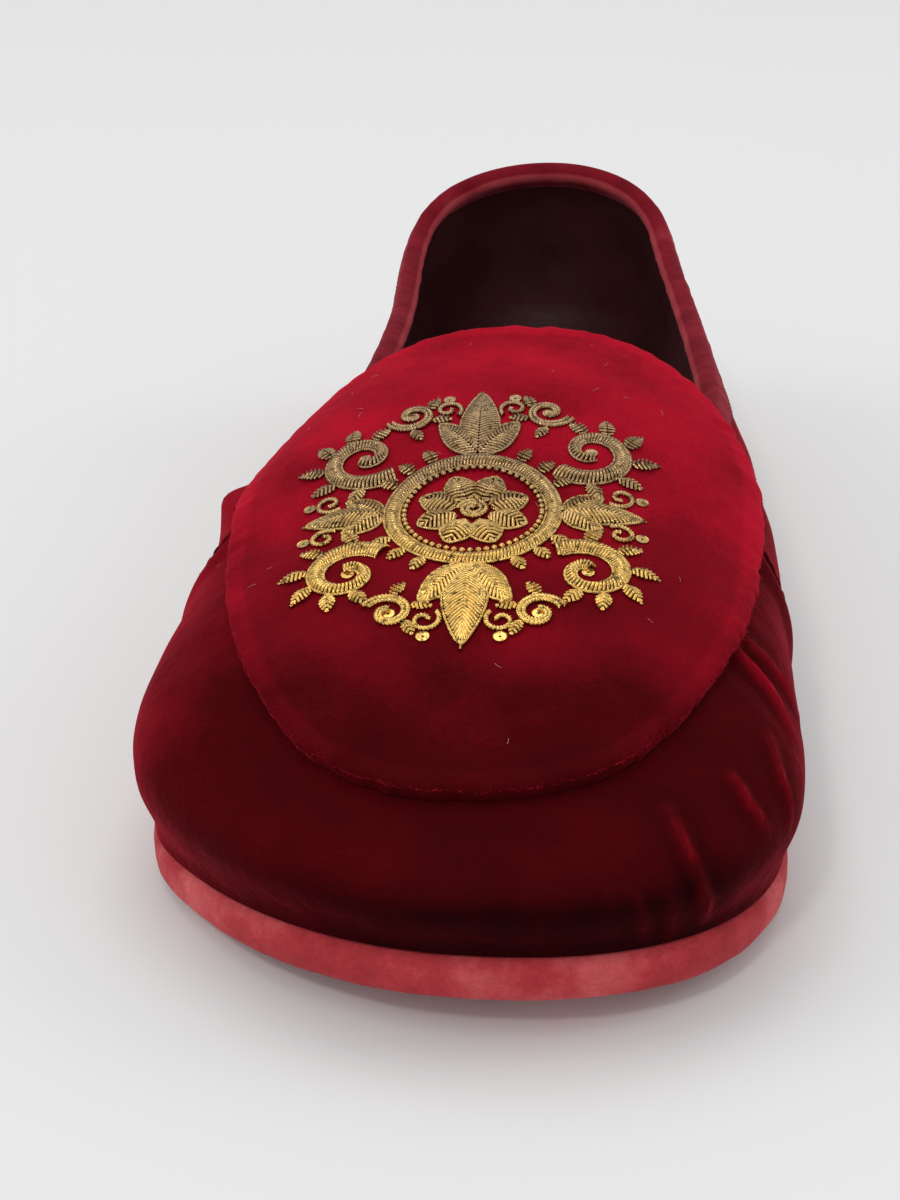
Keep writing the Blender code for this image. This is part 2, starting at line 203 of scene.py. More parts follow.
@dataclass(frozen=True)
class Last:
    """The form that the whole shoe comes from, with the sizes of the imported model."""

    length: float = 0.286
    ball_width: float = 0.1075
    instep_height: float = 0.064
    heel_height: float = 0.0062
    toe_spring: float = 0.006
    sole_thickness: float = 0.0071
    toe_round: float = 0.053
    toe_power: float = 2.28
    seat_round: float = 0.038
    seat_power: float = 2.1
    bulge_height: float = 0.0129
    tuck: float = 0.0025
    side_power: float = 2.59
    dome_power: float = 2.25
    wall: float = 0.0024
    quarter_step: float = 0.0008
    seam_station: float = 0.088
    throat_front: float = 0.104
    throat_end: float = 0.125
    throat_power: float = 2.3
    fit_gap: float = 0.0003
    places: tuple[float, ...] = (0.0, 0.08, 0.14, 0.20, 0.28, 0.40, 0.47, 0.55, 0.70, 0.85, 1.0)
    lateral: tuple[float, ...] = (0.441, 0.510, 0.558, 0.573, 0.556, 0.484, 0.412, 0.356, 0.328, 0.344, 0.325)
    medial: tuple[float, ...] = (0.421, 0.429, 0.430, 0.429, 0.428, 0.424, 0.411, 0.383, 0.341, 0.309, 0.299)
    dome: tuple[float, ...] = (0.472, 0.532, 0.616, 0.690, 0.767, 0.902, 0.940, 0.976, 1.020, 1.074, 1.106)
    spring: tuple[float, ...] = (1.0, 0.44, 0.14, 0, 0, 0, 0, 0, 0, 0, 0)
    lift: tuple[float, ...] = (0, 0, 0, 0, 0, 0, 0.16, 0.50, 1.0, 1.0, 1.0)
    bulge: tuple[float, ...] = (0.62, 0.80, 0.92, 1.0, 1.0, 1.0, 1.0, 1.0, 1.0, 1.0, 1.0)
    collar_stations: tuple[float, ...] = (0.110, 0.140, 0.165, 0.200, 0.240, 0.265, 0.286)
    collar_heights: tuple[float, ...] = (0.0515, 0.0488, 0.0484, 0.0490, 0.0532, 0.0598, 0.0640)
    throat_stations: tuple[float, ...] = (0.0, 0.060, 0.104, 0.115, 0.125)
    throat_arcs: tuple[float, ...] = (0.0, 12.0, 42.0, 68.0, 90.0)
    margin_places: tuple[float, ...] = (0.0, 0.15, 0.30, 0.50, 0.70, 1.0)
    margins: tuple[float, ...] = (-0.0011, -0.0020, -0.0022, -0.0030, -0.0022, -0.0008)

    def share(self, column: str, station: Reals) -> Array:
        """Read one column of the sections' table at a station."""
        return SmoothCurve(self.places, getattr(self, column))(np.asarray(station) / self.length)

    def half_width(self, side: Array, station: Array) -> Array:
        """Half-width of the upper on one side."""
        share = np.where(np.asarray(side) < 0, self.share("lateral", station), self.share("medial", station))
        return share * self.ball_width

    def sole_bottom(self, station: Array) -> Array:
        """Height of the sole's underside."""
        spring, lift = self.share("spring", station), self.share("lift", station)
        return self.toe_spring * spring + self.heel_height * lift

    def feather(self, station: Array) -> Array:
        """Height of the sole's top face."""
        return self.sole_bottom(station) + self.sole_thickness

    def widest(self, station: Array) -> Array:
        """Height of the upper's widest line."""
        return self.feather(station) + self.bulge_height * self.share("bulge", station)

    def dome_height(self, station: Array) -> Array:
        """Height of the closed last along the middle of the instep."""
        return self.share("dome", station) * self.instep_height

    def reach_at(self, x: Array, station: Array) -> Array:
        """How far out plan points lie.

        Args:
            x: Distance from the spine, with its sign.
            station: Station.

        Returns:
            0 on the last's spine, 1 on the widest line.
        """
        share = np.abs(x) / self.half_width(np.sign(x), station)
        toe = np.clip(1 - station / self.toe_round, 0, None)
        seat = np.clip((station - self.length) / self.seat_round + 1, 0, None)
        front = (share**self.toe_power + toe**self.toe_power) ** (1 / self.toe_power)
        back = (share**self.seat_power + seat**self.seat_power) ** (1 / self.seat_power)
        return np.where(toe > 0, front, back)

    def height(self, x: Array, station: Array) -> Array:
        """Height of the closed last's surface.

        Args:
            x: Distance from the spine, with its sign.
            station: Station.

        Returns:
            Heights above the floor.
        """
        reach = np.clip(self.reach_at(x, station), 0, 1)
        low = self.widest(station)
        arch = (1 - reach**self.side_power) ** (1 / self.dome_power)
        return low + (self.dome_height(station) - low) * arch

    def normal(self, x: Array, station: Array, step: float = 0.0002) -> Array:
        """Outward unit normals of the closed last's surface.

        Args:
            x: Distance from the spine, with its sign.
            station: Station.
            step: How far apart the heights are read.

        Returns:
            Normals (..., xyz).
        """
        across = self.height(x + step, station) - self.height(x - step, station)
        along = self.height(x, station + step) - self.height(x, station - step)
        normal = np.stack([-across, -along, np.full(np.shape(across), 2 * step)], -1)
        return normal / np.linalg.norm(normal, axis=-1, keepdims=True)

    def loop(self, toe_columns: int, side_step: float, seat_columns: int) -> Columns:
        """Places once round the shoe: toe tip, lateral side, heel, and back along the medial side.

        Args:
            toe_columns: Columns of the toe fan on each side.
            side_step: Distance between columns along the sides, in metres.
            seat_columns: Columns of the seat fan on each side.

        Returns:
            The loop, with the toe tip first and the heel once.
        """
        toe = np.linspace(0, np.pi / 2, toe_columns, endpoint=False)
        side_end = self.length - self.seat_round
        count = round((side_end - self.toe_round) / side_step)
        stations = np.linspace(self.toe_round, side_end, count + 1)
        seat = np.linspace(np.pi / 2, 0, seat_columns + 1)[1:]
        value = np.concatenate([toe, stations, seat])
        region = np.repeat([Region.TOE, Region.SIDE, Region.SEAT], [len(toe), len(stations), len(seat)])
        side = np.repeat([int(Side.LATERAL), int(Side.MEDIAL)], [len(value), len(value) - 2])
        back = slice(-2, 0, -1)
        return Columns(side, np.append(region, region[back]), np.append(value, value[back]))

    def plan(self, columns: Columns, reach: Reals = 1.0) -> Array:
        """Plan points of columns.

        Args:
            columns: Places round the outline.
            reach: Share of the way out to the widest line.

        Returns:
            Points (column, x and station).
        """
        value, region = columns.value, columns.region
        reach = np.broadcast_to(reach, value.shape)
        angle = np.where(region == Region.SIDE, 0.5, np.clip(value, 0, np.pi / 2))
        cosine, sine = np.cos(angle), np.sin(angle)
        toe = self.toe_round * (1 - reach * cosine ** (2 / self.toe_power))
        seat_start = self.length - self.seat_round
        seat = seat_start + self.seat_round * reach * cosine ** (2 / self.seat_power)
        station = np.choose(region, [toe, value, seat])
        toe_out, seat_out = reach * sine ** (2 / self.toe_power), reach * sine ** (2 / self.seat_power)
        out = np.choose(region, [toe_out, reach, seat_out])
        return np.stack([columns.side * out * self.half_width(columns.side, station), station], -1)

    def outline_normal(self, columns: Columns) -> Array:
        """Outward unit normals of the plan outline.

        Args:
            columns: Places round the outline.

        Returns:
            Normals (column, x and station).
        """
        step = np.where(columns.region == Region.SIDE, 0.002, 0.01)
        before = self.plan(columns.shifted(-step))
        after = self.plan(columns.shifted(step))
        along = (after - before) * np.where(columns.region == Region.SEAT, -1, 1)[:, None]
        normal = np.stack([along[:, 1], -along[:, 0]], -1) * columns.side[:, None]
        normal /= np.linalg.norm(normal, axis=1, keepdims=True)
        tip = (columns.region != Region.SIDE) & (columns.value < step)
        ahead = np.where(columns.region == Region.TOE, -1.0, 1.0)
        normal[tip] = np.stack([np.zeros(len(ahead)), ahead], -1)[tip]
        return normal

    def collar_reach(self, station: Array) -> Array:
        """Reach at which the last's surface is as high as the collar.

        Args:
            station: Station.

        Returns:
            Shares of the way out.
        """
        low = self.widest(station)
        collar = SmoothCurve(self.collar_stations, self.collar_heights)(station)
        rise = np.clip((collar - low) / (self.dome_height(station) - low), 0, 1)
        return (1 - rise**self.dome_power) ** (1 / self.side_power)

    def opening(self, columns: Columns) -> Array:
        """Edge of the opening, where the columns of the wall end.

        Args:
            columns: Places round the outline.

        Returns:
            Plan points (column, x and station).
        """
        station = self.plan(columns)[:, 1]
        behind = self.plan(columns, self.collar_reach(station))
        end = np.full(len(columns), self.throat_end)
        half = self.half_width(columns.side, end) * self.collar_reach(end)
        arc = np.radians(SmoothCurve(self.throat_stations, self.throat_arcs)(station))
        depth = (self.throat_end - self.throat_front) * np.clip(np.cos(arc), 0, 1) ** (2 / self.throat_power)
        across = columns.side * half * np.sin(arc) ** (2 / self.throat_power)
        front = np.stack([across, self.throat_end - depth], -1)
        return np.where((station >= self.throat_end)[:, None], behind, front)

    def wall_rows(self, columns: Columns, rises: Array) -> Array:
        """Points (row, column, xyz) of the upper's outside.

        Args:
            columns: The places round the outline.
            rises: -1 at the sole, 0 at the widest line and 1 at the opening's edge.

        Returns:
            Points as (x, station, z), without the quarter's step behind the seam.
        """
        outer, out = self.plan(columns), self.outline_normal(columns)
        edge = self.opening(columns)
        low, high = self.feather(outer[:, 1]) + self.fit_gap, self.widest(outer[:, 1])
        rise = np.asarray(rises, float)[:, None]
        tuck = self.tuck * rise**2 * (3 + 2 * rise)
        under = outer[None] - out[None] * np.where(rise < 0, tuck, 0)[..., None]
        over = outer[None] + (edge - outer)[None] * (1 - np.cos(np.clip(rise, 0, 1) * np.pi / 2))[..., None]
        plan = np.where((rise < 0)[..., None], under, over)
        closed = self.height(plan[..., 0], plan[..., 1])
        height = np.where(rise < 0, high + (high - low) * rise, closed)
        return np.concatenate([plan, height[..., None]], -1)

    def seam_distance(self, columns: Columns) -> Array:
        """How far each column lies behind the side seam, along the outline."""
        return self.plan(columns)[:, 1] - self.seam_station


@dataclass(frozen=True)
class ApronShape:
    """The apron's outline and how high it stands over the last."""

    last: Last
    centre: float = 0.0977
    front: float = 0.0815
    back: float = 0.0400
    half_width: float = 0.0446
    offset: float = -0.0048
    power: float = 2.32
    thickness: float = 0.0017
    seat: float = 0.0004
    tongue_lift: float = 0.0012
    lift_start: float = 0.074
    lift_end: float = 0.098
    binding_clear: float = 0.0018

    def plan(self, spoke: Array, share: Reals) -> Array:
        """Plan points of the apron.

        Args:
            spoke: Angles round it.
            share: Shares of the way out.

        Returns:
            Points (..., x and station).
        """
        cosine, sine = np.cos(spoke), np.sin(spoke)
        length = np.where(cosine > 0, self.front, self.back)
        x = self.offset + share * self.half_width * np.sign(sine) * np.abs(sine) ** (2 / self.power)
        station = self.centre - share * length * np.sign(cosine) * np.abs(cosine) ** (2 / self.power)
        return np.stack(np.broadcast_arrays(x, station), -1)

    def share_at(self, x: Array, station: Array) -> Array:
        """How far out plan points lie.

        Args:
            x: Distance from the spine, with its sign.
            station: Station.

        Returns:
            0 at the apron's middle, 1 on its edge.
        """
        across = np.abs(x - self.offset) / self.half_width
        along = np.abs(station - self.centre) / np.where(station > self.centre, self.back, self.front)
        return (across**self.power + along**self.power) ** (1 / self.power)

    def under_gap(self, station: Array) -> Array:
        """Height of the apron's underside over the last: seated in front, lifted under the tongue."""
        return self.seat + self.tongue_lift * smooth_step(station, self.lift_start, self.lift_end)

    def over(self, plan: Array, above: Reals = 0.0) -> Array:
        """Points over the apron's top.

        Args:
            plan: Plan points (..., x and station).
            above: Distance above the top.

        Returns:
            Points (..., xyz).
        """
        x, station = plan[..., 0], plan[..., 1]
        base = np.stack([x, station, self.last.height(x, station)], -1)
        stand = self.under_gap(station) + self.thickness + above
        return base + self.last.normal(x, station) * np.asarray(stand)[..., None]

    def outside(self, plan: Array) -> Array:
        """Whether plan points lie clear of the apron's edge, with room for the binding.

        Args:
            plan: Plan points (point, x and station).

        Returns:
            One truth value a point.
        """
        clear = self.binding_clear
        across = np.abs(plan[:, 0] - self.offset) / (self.half_width + clear)
        length = np.where(plan[:, 1] > self.centre, self.back, self.front) + clear
        return across**self.power + (np.abs(plan[:, 1] - self.centre) / length) ** self.power > 1


@dataclass(frozen=True)
class Place:
    """Turns (x, station, z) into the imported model's coordinates, read off its upper."""

    last: Last

    @cached_property
    def offset(self) -> Array:
        """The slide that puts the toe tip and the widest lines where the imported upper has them.

        Returns:
            The slide (x, y, z).
        """
        low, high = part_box("upper")
        stations = np.linspace(0, self.last.length, 400)
        step = self.last.quarter_step * (stations > self.last.seam_station)
        widths = [self.last.half_width(side, stations) + step for side in Side]
        across = ((high[0] - widths[1].max()) + (low[0] + widths[0].max())) / 2
        return np.array([across, low[1], 0.0])

    def __call__(self, points: Array) -> Array:
        """World coordinates of points."""
        return np.asarray(points, float) + self.offset


def grid_faces(rows: int, columns: int, rolled: bool = False, first: int = 0) -> Faces:
    """Quads between successive rows of points, each row being a closed ring.

    Args:
        rows: How many rows there are.
        columns: How many points a row has.
        rolled: Also join the last row to the first.
        first: Number of the first point.

    Returns:
        Tuples of point numbers.
    """
    faces = []
    for row in range(rows if rolled else rows - 1):
        low, high = first + row * columns, first + (row + 1) % rows * columns
        for i in range(columns):
            j = (i + 1) % columns
            faces.append((low + i, low + j, high + j, high + i))
    return faces


def capped_faces(rows: int, columns: int) -> Faces:
    """Quads between successive rings, with one face across the first and one across the last."""
    caps = [tuple(range(columns)), tuple(range((rows - 1) * columns, rows * columns))]
    return grid_faces(rows, columns) + caps


def laddered_faces(rows: int, columns: int) -> Faces:
    """Quads between successive loops from Last.loop, with both ends closed by ladders."""
    return grid_faces(rows, columns) + ladder_faces(0, columns) + ladder_faces((rows - 1) * columns, columns)


def ladder_faces(first: int, around: int) -> Faces:
    """Close a loop from Last.loop with quads from its lateral to its medial side.

    Args:
        first: Number of the loop's first point, at the toe tip.
        around: How many points the loop has.

    Returns:
        Tuples of point numbers, with triangles at the toe and the heel.
    """
    faces = []
    for i in range(around // 2):
        left, right = first + i, first + (around - i) % around
        next_left, next_right = first + i + 1, first + (around - i - 1) % around
        faces.append(tuple(dict.fromkeys((left, right, next_right, next_left))))
    return faces


def grid_normals(grid: Array) -> Array:
    """Unit normals of a grid of closed rings.

    Args:
        grid: Points (row, column, xyz).

    Returns:
        Normals (row, column, xyz), all on the same side.
    """
    along = np.gradient(grid, axis=0)
    around = np.roll(grid, -1, axis=1) - np.roll(grid, 1, axis=1)
    normal = np.cross(around, along)
    length = np.linalg.norm(normal, axis=-1, keepdims=True)
    return normal / np.maximum(length, 1e-12)


@dataclass
class Workshop:
    """Makes the objects of the shoe, sets them on the shoe's body and keeps a list of them."""

    place: Place
    made: list[Piece] = field(default_factory=list)

    def link(self, obj: Piece) -> Piece:
        """Put an object in the scene."""
        bpy.context.scene.collection.objects.link(obj)
        return obj

    def mesh(
        self,
        name: str,
        points: Array,
        faces: Faces,
        finish: Material,
        nap_light_and_shade: Array | None = None,
        sharp_angle: float = 50.0,
    ) -> Piece:
        """Make a smooth-shaded mesh object.

        Args:
            name: The piece's name.
            points: Points (x, station, z).
            faces: Tuples of point numbers.
            finish: The material.
            nap_light_and_shade: How bright the velvet is at each point, from 0 dark to 1 bright: the pile's
                own tone with painted light and shade.
            sharp_angle: Edges above this angle, in degrees, are shaded sharp.

        Returns:
            The linked object, with its faces pointing outwards.
        """
        mesh = bpy.data.meshes.new(name)
        world = self.place(np.asarray(points).reshape(-1, 3))
        mesh.from_pydata([tuple(p) for p in world], [], faces)
        if nap_light_and_shade is not None:
            layer = mesh.attributes.new("nap_light_and_shade", "FLOAT", "POINT")
            layer.data.foreach_set("value", np.asarray(nap_light_and_shade, np.float32).ravel())
        self.turn_out(mesh)
        mesh.shade_smooth()
        mesh.set_sharp_from_angle(angle=math.radians(sharp_angle))
        mesh.materials.append(finish)
        return self.link(bpy.data.objects.new(name, mesh))

    @staticmethod
    def turn_out(mesh: bpy.types.Mesh) -> None:
        """Turn a mesh's faces outwards.

        Args:
            mesh: The mesh, a closed shell.
        """
        work = bmesh.new()
        work.from_mesh(mesh)
        bmesh.ops.recalc_face_normals(work, faces=work.faces)
        work.to_mesh(mesh)
        work.free()

    def guides(self, name: str, paths: list[Array], closed: bool = False) -> Piece:
        """Make a curve object of straight splines.

        Args:
            name: Its name.
            paths: Paths of points (x, station, z).
            closed: Whether each path is a ring.

        Returns:
            The linked curve object.
        """
        curve = bpy.data.curves.new(name, "CURVE")
        curve.dimensions = "3D"
        for path in paths:
            world = self.place(path)
            spline = curve.splines.new("POLY")
            spline.points.add(len(world) - 1)
            spline.points.foreach_set("co", np.column_stack([world, np.ones(len(world))]).ravel())
            spline.use_cyclic_u = closed
        return self.link(bpy.data.objects.new(name, curve))

    def grow(self, guide: Piece, growth: GrowthTree, sizes: Sizes, name: str) -> Piece:
        """Run a Geometry Nodes tree on a guide and keep its result as a plain mesh.

        Args:
            guide: The curve or mesh that the tree works on. It is removed.
            growth: The tree.
            sizes: Values for the tree's named inputs.
            name: The new piece's name.

        Returns:
            A mesh object.
        """
        modifier = guide.modifiers.new("growth", "NODES")
        modifier.node_group = growth.tree
        for title, value in sizes.items():
            modifier[growth.sockets[title]] = value
        graph = bpy.context.evaluated_depsgraph_get()
        mesh = bpy.data.meshes.new_from_object(guide.evaluated_get(graph), depsgraph=graph)
        guide.modifiers.remove(modifier)
        bpy.data.objects.remove(guide, do_unlink=True)
        mesh.name = name
        if not mesh.polygons:
            raise RuntimeError(f"{name}: the tree made no faces")
        return self.link(bpy.data.objects.new(name, mesh))

    def grow_along(
        self,
        name: str,
        paths: list[Array],
        growth: GrowthTree,
        sizes: Sizes,
        slot: Slot,
        closed: bool = False,
    ) -> None:
        """Grow a piece along paths and fit it.

        Args:
            name: The piece's name.
            paths: Paths of points (x, station, z).
            growth: The Geometry Nodes tree.
            sizes: Values for the tree's named inputs.
            slot: The record's material slot that its finish comes from.
            closed: Whether each path is a ring.
        """
        guide = self.guides(f"{name}_guide", paths, closed)
        self.fit(self.grow(guide, growth, sizes, name), slot)

    def fit(self, obj: Piece, slot: Slot, replaces: tuple[str, ...] = ()) -> None:
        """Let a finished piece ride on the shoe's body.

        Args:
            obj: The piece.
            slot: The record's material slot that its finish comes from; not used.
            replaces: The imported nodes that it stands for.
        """
        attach(obj, BODY)
        if replaces:
            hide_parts(*replaces)
        self.made.append(obj)
        log.info("%s: %d faces", obj.name, len(obj.data.polygons))


class NodeWork:
    """A node tree, with short ways to add nodes to it."""

    def __init__(self, tree: bpy.types.NodeTree) -> None:
        """Work on one node tree."""
        self.tree = tree

    def add(self, kind: str, inputs: dict[str | int, object] | None = None, **settings: object) -> Node:
        """Add a node.

        Args:
            kind: The node's type.
            inputs: Values or output sockets for its inputs, by name or number.
            settings: Its other properties.

        Returns:
            The node.
        """
        node = self.tree.nodes.new(kind)
        for key, value in settings.items():
            setattr(node, key, value)
        for key, value in (inputs or {}).items():
            if isinstance(value, Socket):
                self.tree.links.new(value, node.inputs[key])
            else:
                node.inputs[key].default_value = value
        return node

    def math(self, operation: str, a: object, b: object = 0.0, clamp: bool = False) -> Socket:
        """Add a Math node and return its output."""
        return self.add("ShaderNodeMath", {0: a, 1: b}, operation=operation, use_clamp=clamp).outputs[0]


class GrowthTree(NodeWork):
    """A Geometry Nodes tree with named sizes, ending in Realize Instances and Set Material."""

    def __init__(self, name: str, sizes: Sizes, finish: Material) -> None:
        """Start a tree.

        Args:
            name: The tree's name.
            sizes: Its named inputs and their usual values.
            finish: The material that its result gets.
        """
        super().__init__(bpy.data.node_groups.new(name, "GeometryNodeTree"))
        self.finish = finish
        self.sockets: dict[str, str] = {}
        face = self.tree.interface
        face.new_socket("Geometry", in_out="OUTPUT", socket_type="NodeSocketGeometry")
        face.new_socket("Geometry", in_out="INPUT", socket_type="NodeSocketGeometry")
        for title, value in sizes.items():
            socket = face.new_socket(title, in_out="INPUT", socket_type="NodeSocketFloat")
            socket.default_value = value
            self.sockets[title] = socket.identifier
        self.source = self.tree.nodes.new("NodeGroupInput")

    def size(self, title: str) -> Socket:
        """The socket of a named input."""
        return self.source.outputs[title]

    def resampled(self, title: str) -> Socket:
        """The guide curves, with points at the distance that a named input gives."""
        inputs = {"Curve": self.source.outputs["Geometry"], "Length": self.size(title)}
        return self.add("GeometryNodeResampleCurve", inputs, mode="LENGTH").outputs[0]

    def ring(self, corners: int) -> Socket:
        """A circle of the wire's radius."""
        inputs = {"Resolution": corners, "Radius": self.size("Wire radius")}
        return self.add("GeometryNodeCurvePrimitiveCircle", inputs, mode="RADIUS").outputs[0]

    def sweep(self, path: Socket, profile: Socket) -> None:
        """Run a profile along curves as capped tubes, and close the tree."""
        inputs = {"Curve": path, "Profile Curve": profile, "Fill Caps": True}
        self.finish_with(self.add("GeometryNodeCurveToMesh", inputs).outputs[0])

    def spread(self, points: Socket, shape: Socket, turned: Socket, scale: Socket) -> None:
        """Put a shape on every point of curves, turned and scaled, and close the tree."""
        inputs = {"Points": points, "Instance": shape, "Rotation": turned, "Scale": scale}
        self.finish_with(self.add("GeometryNodeInstanceOnPoints", inputs).outputs[0])

    def finish_with(self, geometry: Socket) -> None:
        """Close the tree: smooth shading, Realize Instances, Set Material and the output.

        Args:
            geometry: What the tree has made.
        """
        inputs = {"Geometry": geometry, "Shade Smooth": True}
        shaded = self.add("GeometryNodeSetShadeSmooth", inputs)
        real = self.add("GeometryNodeRealizeInstances", {"Geometry": shaded.outputs[0]})
        inputs = {"Geometry": real.outputs[0], "Material": self.finish}
        dressed = self.add("GeometryNodeSetMaterial", inputs)
        self.tree.links.new(dressed.outputs[0], self.tree.nodes.new("NodeGroupOutput").inputs[0])


class RopeTree(GrowthTree):
    """Turns guide curves into twisted metal wire."""

    strands = 3

    def __init__(self, finish: Material, name: str = "bullion_rope") -> None:
        """Build the tree.

        Args:
            finish: The metal.
            name: The tree's name.
        """
        sizes = {"Wire radius": 0.0004, "Twist pitch": 0.0016, "Sample length": 0.0003, "Lobe depth": 0.28}
        super().__init__(name, sizes, finish)
        along = self.add("GeometryNodeSplineParameter").outputs["Length"]
        turns = self.math("DIVIDE", along, self.size("Twist pitch"))
        inputs = {"Curve": self.resampled("Sample length"), "Tilt": self.math("MULTIPLY", turns, 2 * math.pi)}
        twisted = self.add("GeometryNodeSetCurveTilt", inputs)
        index = self.add("GeometryNodeInputIndex").outputs[0]
        lobe = self.math("SINE", self.math("MULTIPLY", index, 2 * math.pi / self.strands))
        swell = self.math("ADD", self.math("MULTIPLY", lobe, self.size("Lobe depth")), 1.0)
        spot = self.add("GeometryNodeInputPosition").outputs[0]
        lobed = self.add("ShaderNodeVectorMath", {0: spot, "Scale": swell}, operation="SCALE")
        inputs = {"Geometry": self.ring(3 * self.strands), "Position": lobed.outputs[0]}
        self.sweep(twisted.outputs[0], self.add("GeometryNodeSetPosition", inputs).outputs[0])


class WireTree(GrowthTree):
    """Turns guide curves into plain round wire."""

    def __init__(self, finish: Material, name: str) -> None:
        """Build the tree for a finish, under a name."""
        super().__init__(name, {"Wire radius": 0.0003, "Sample length": 0.0008}, finish)
        self.sweep(self.resampled("Sample length"), self.ring(6))


class StitchTree(GrowthTree):
    """Lays stitches end to end along guide curves."""

    def __init__(self, finish: Material, name: str, bead: bool = False) -> None:
        """Build the tree.

        Args:
            finish: The thread's or bead's material.
            name: The tree's name.
            bead: Round beads rather than long stitches.
        """
        sizes = {"Spacing": 0.003, "Length share": 0.75, "Thread radius": 0.0003}
        super().__init__(name, sizes, finish)
        tangent = self.add("GeometryNodeInputTangent").outputs[0]
        turned = self.add("FunctionNodeAlignRotationToVector", {"Vector": tangent}, axis="Z")
        ball = self.add("GeometryNodeMeshUVSphere", {"Segments": 8, "Rings": 6, "Radius": 1.0})
        length = self.math("MULTIPLY", self.size("Spacing"), self.size("Length share"))
        radius = self.size("Thread radius")
        half = radius if bead else self.math("MULTIPLY", length, 0.5)
        scale = self.add("ShaderNodeCombineXYZ", {0: radius, 1: radius, 2: half})
        self.spread(self.resampled("Spacing"), ball.outputs[0], turned.outputs[0], scale.outputs[0])


class PileTree(GrowthTree):
    """Sets short tapered fibres along guide curves, leaning by a fixed chance."""

    def __init__(self, finish: Material, name: str, seed: int) -> None:
        """Build the tree.

        Args:
            finish: The fibres' material.
            name: The tree's name.
            seed: Fixes how each fibre leans and how long it is.
        """
        super().__init__(name, {"Spacing": 0.0004, "Fibre length": 0.0012, "Fibre radius": 0.00006}, finish)
        cone_sizes = {"Vertices": 4, "Radius Top": 0.1, "Radius Bottom": 1.0, "Depth": 1.0}
        cone = self.add("GeometryNodeMeshCone", cone_sizes)
        chance = {0: (-math.pi,) * 3, 1: (math.pi,) * 3, "Seed": seed}
        lean = self.add("FunctionNodeRandomValue", chance, data_type="FLOAT_VECTOR")
        chance = {2: 0.5, 3: 1.3, "Seed": seed + 1}
        reach = self.add("FunctionNodeRandomValue", chance, data_type="FLOAT")
        tall = self.math("MULTIPLY", reach.outputs[1], self.size("Fibre length"))
        radius = self.size("Fibre radius")
        scale = self.add("ShaderNodeCombineXYZ", {0: radius, 1: radius, 2: tall})
        self.spread(self.resampled("Spacing"), cone.outputs[0], lean.outputs[0], scale.outputs[0])


class Graph(NodeWork):
    """A material's node tree, with its shader and the piece's Object coordinates."""

    def __init__(self, name: str) -> None:
        """Start a material with only its output and its Principled shader.

        Args:
            name: The material's name.
        """
        self.material = bpy.data.materials.new(name)
        self.material.use_nodes = True
        super().__init__(self.material.node_tree)
        self.shader = self.tree.nodes["Principled BSDF"]
        self.place = self.add("ShaderNodeTexCoord").outputs["Object"]

    def constant(self, **values: object) -> None:
        """Set constants on the shader's own sockets, with underscores for the spaces in their names."""
        for key, value in values.items():
            self.shader.inputs[key.replace("_", " ")].default_value = value

    def noise(self, scale: float, detail: float = 3.0, roughness: float = 0.5) -> Socket:
        """A noise over Object coordinates, from 0 to 1."""
        inputs = {"Vector": self.place, "Scale": scale, "Detail": detail, "Roughness": roughness}
        return self.add("ShaderNodeTexNoise", inputs).outputs[0]

    def ramp(self, value: Socket, stops: list[tuple[float, Colour]]) -> Socket:
        """Add a colour ramp.

        Args:
            value: What it reads.
            stops: Its stops, each a place and a colour.

        Returns:
            The colour.
        """
        node = self.add("ShaderNodeValToRGB", {0: value})
        steps = node.color_ramp.elements
        while len(steps) < len(stops):
            steps.new(0.5)
        for step, (spot, colour) in zip(steps, stops):
            step.position = spot
            step.color = (*colour, 1.0)
        return node.outputs[0]

    def mix(self, share: object, a: object, b: object, blend: str = "MIX") -> Socket:
        """Mix two colours.

        Args:
            share: How much of the second.
            a: The first.
            b: The second.
            blend: The way of mixing.

        Returns:
            The mixed colour.
        """
        node = self.add("ShaderNodeMix", data_type="RGBA", blend_type=blend)
        for key, value in ((0, share), (6, a), (7, b)):
            if isinstance(value, Socket):
                self.tree.links.new(value, node.inputs[key])
            else:
                node.inputs[key].default_value = (*value, 1.0) if isinstance(value, tuple) else value
        return node.outputs[2]

    def span(self, value: Socket, low: float, high: float) -> Socket:
        """Stretch 0 to 1 over low to high."""
        node = self.add("ShaderNodeMapRange", {0: value, 3: low, 4: high})
        return node.outputs[0]

    def bump(self, layers: list[tuple[Socket, float]]) -> None:
        """Bump the surface.

        Args:
            layers: Heights with their depths in metres, coarse first.
        """
        before = None
        for height, depth in layers:
            node = self.add("ShaderNodeBump", {"Height": height, "Distance": depth, "Strength": 1.0})
            if before is not None:
                self.tree.links.new(before, node.inputs["Normal"])
            before = node.outputs[0]
        self.tree.links.new(before, self.shader.inputs["Normal"])

    def colour(self, socket: Socket) -> None:
        """Feed the base colour."""
        self.tree.links.new(socket, self.shader.inputs["Base Color"])

    def roughness(self, socket: Socket) -> None:
        """Feed the roughness."""
        self.tree.links.new(socket, self.shader.inputs["Roughness"])


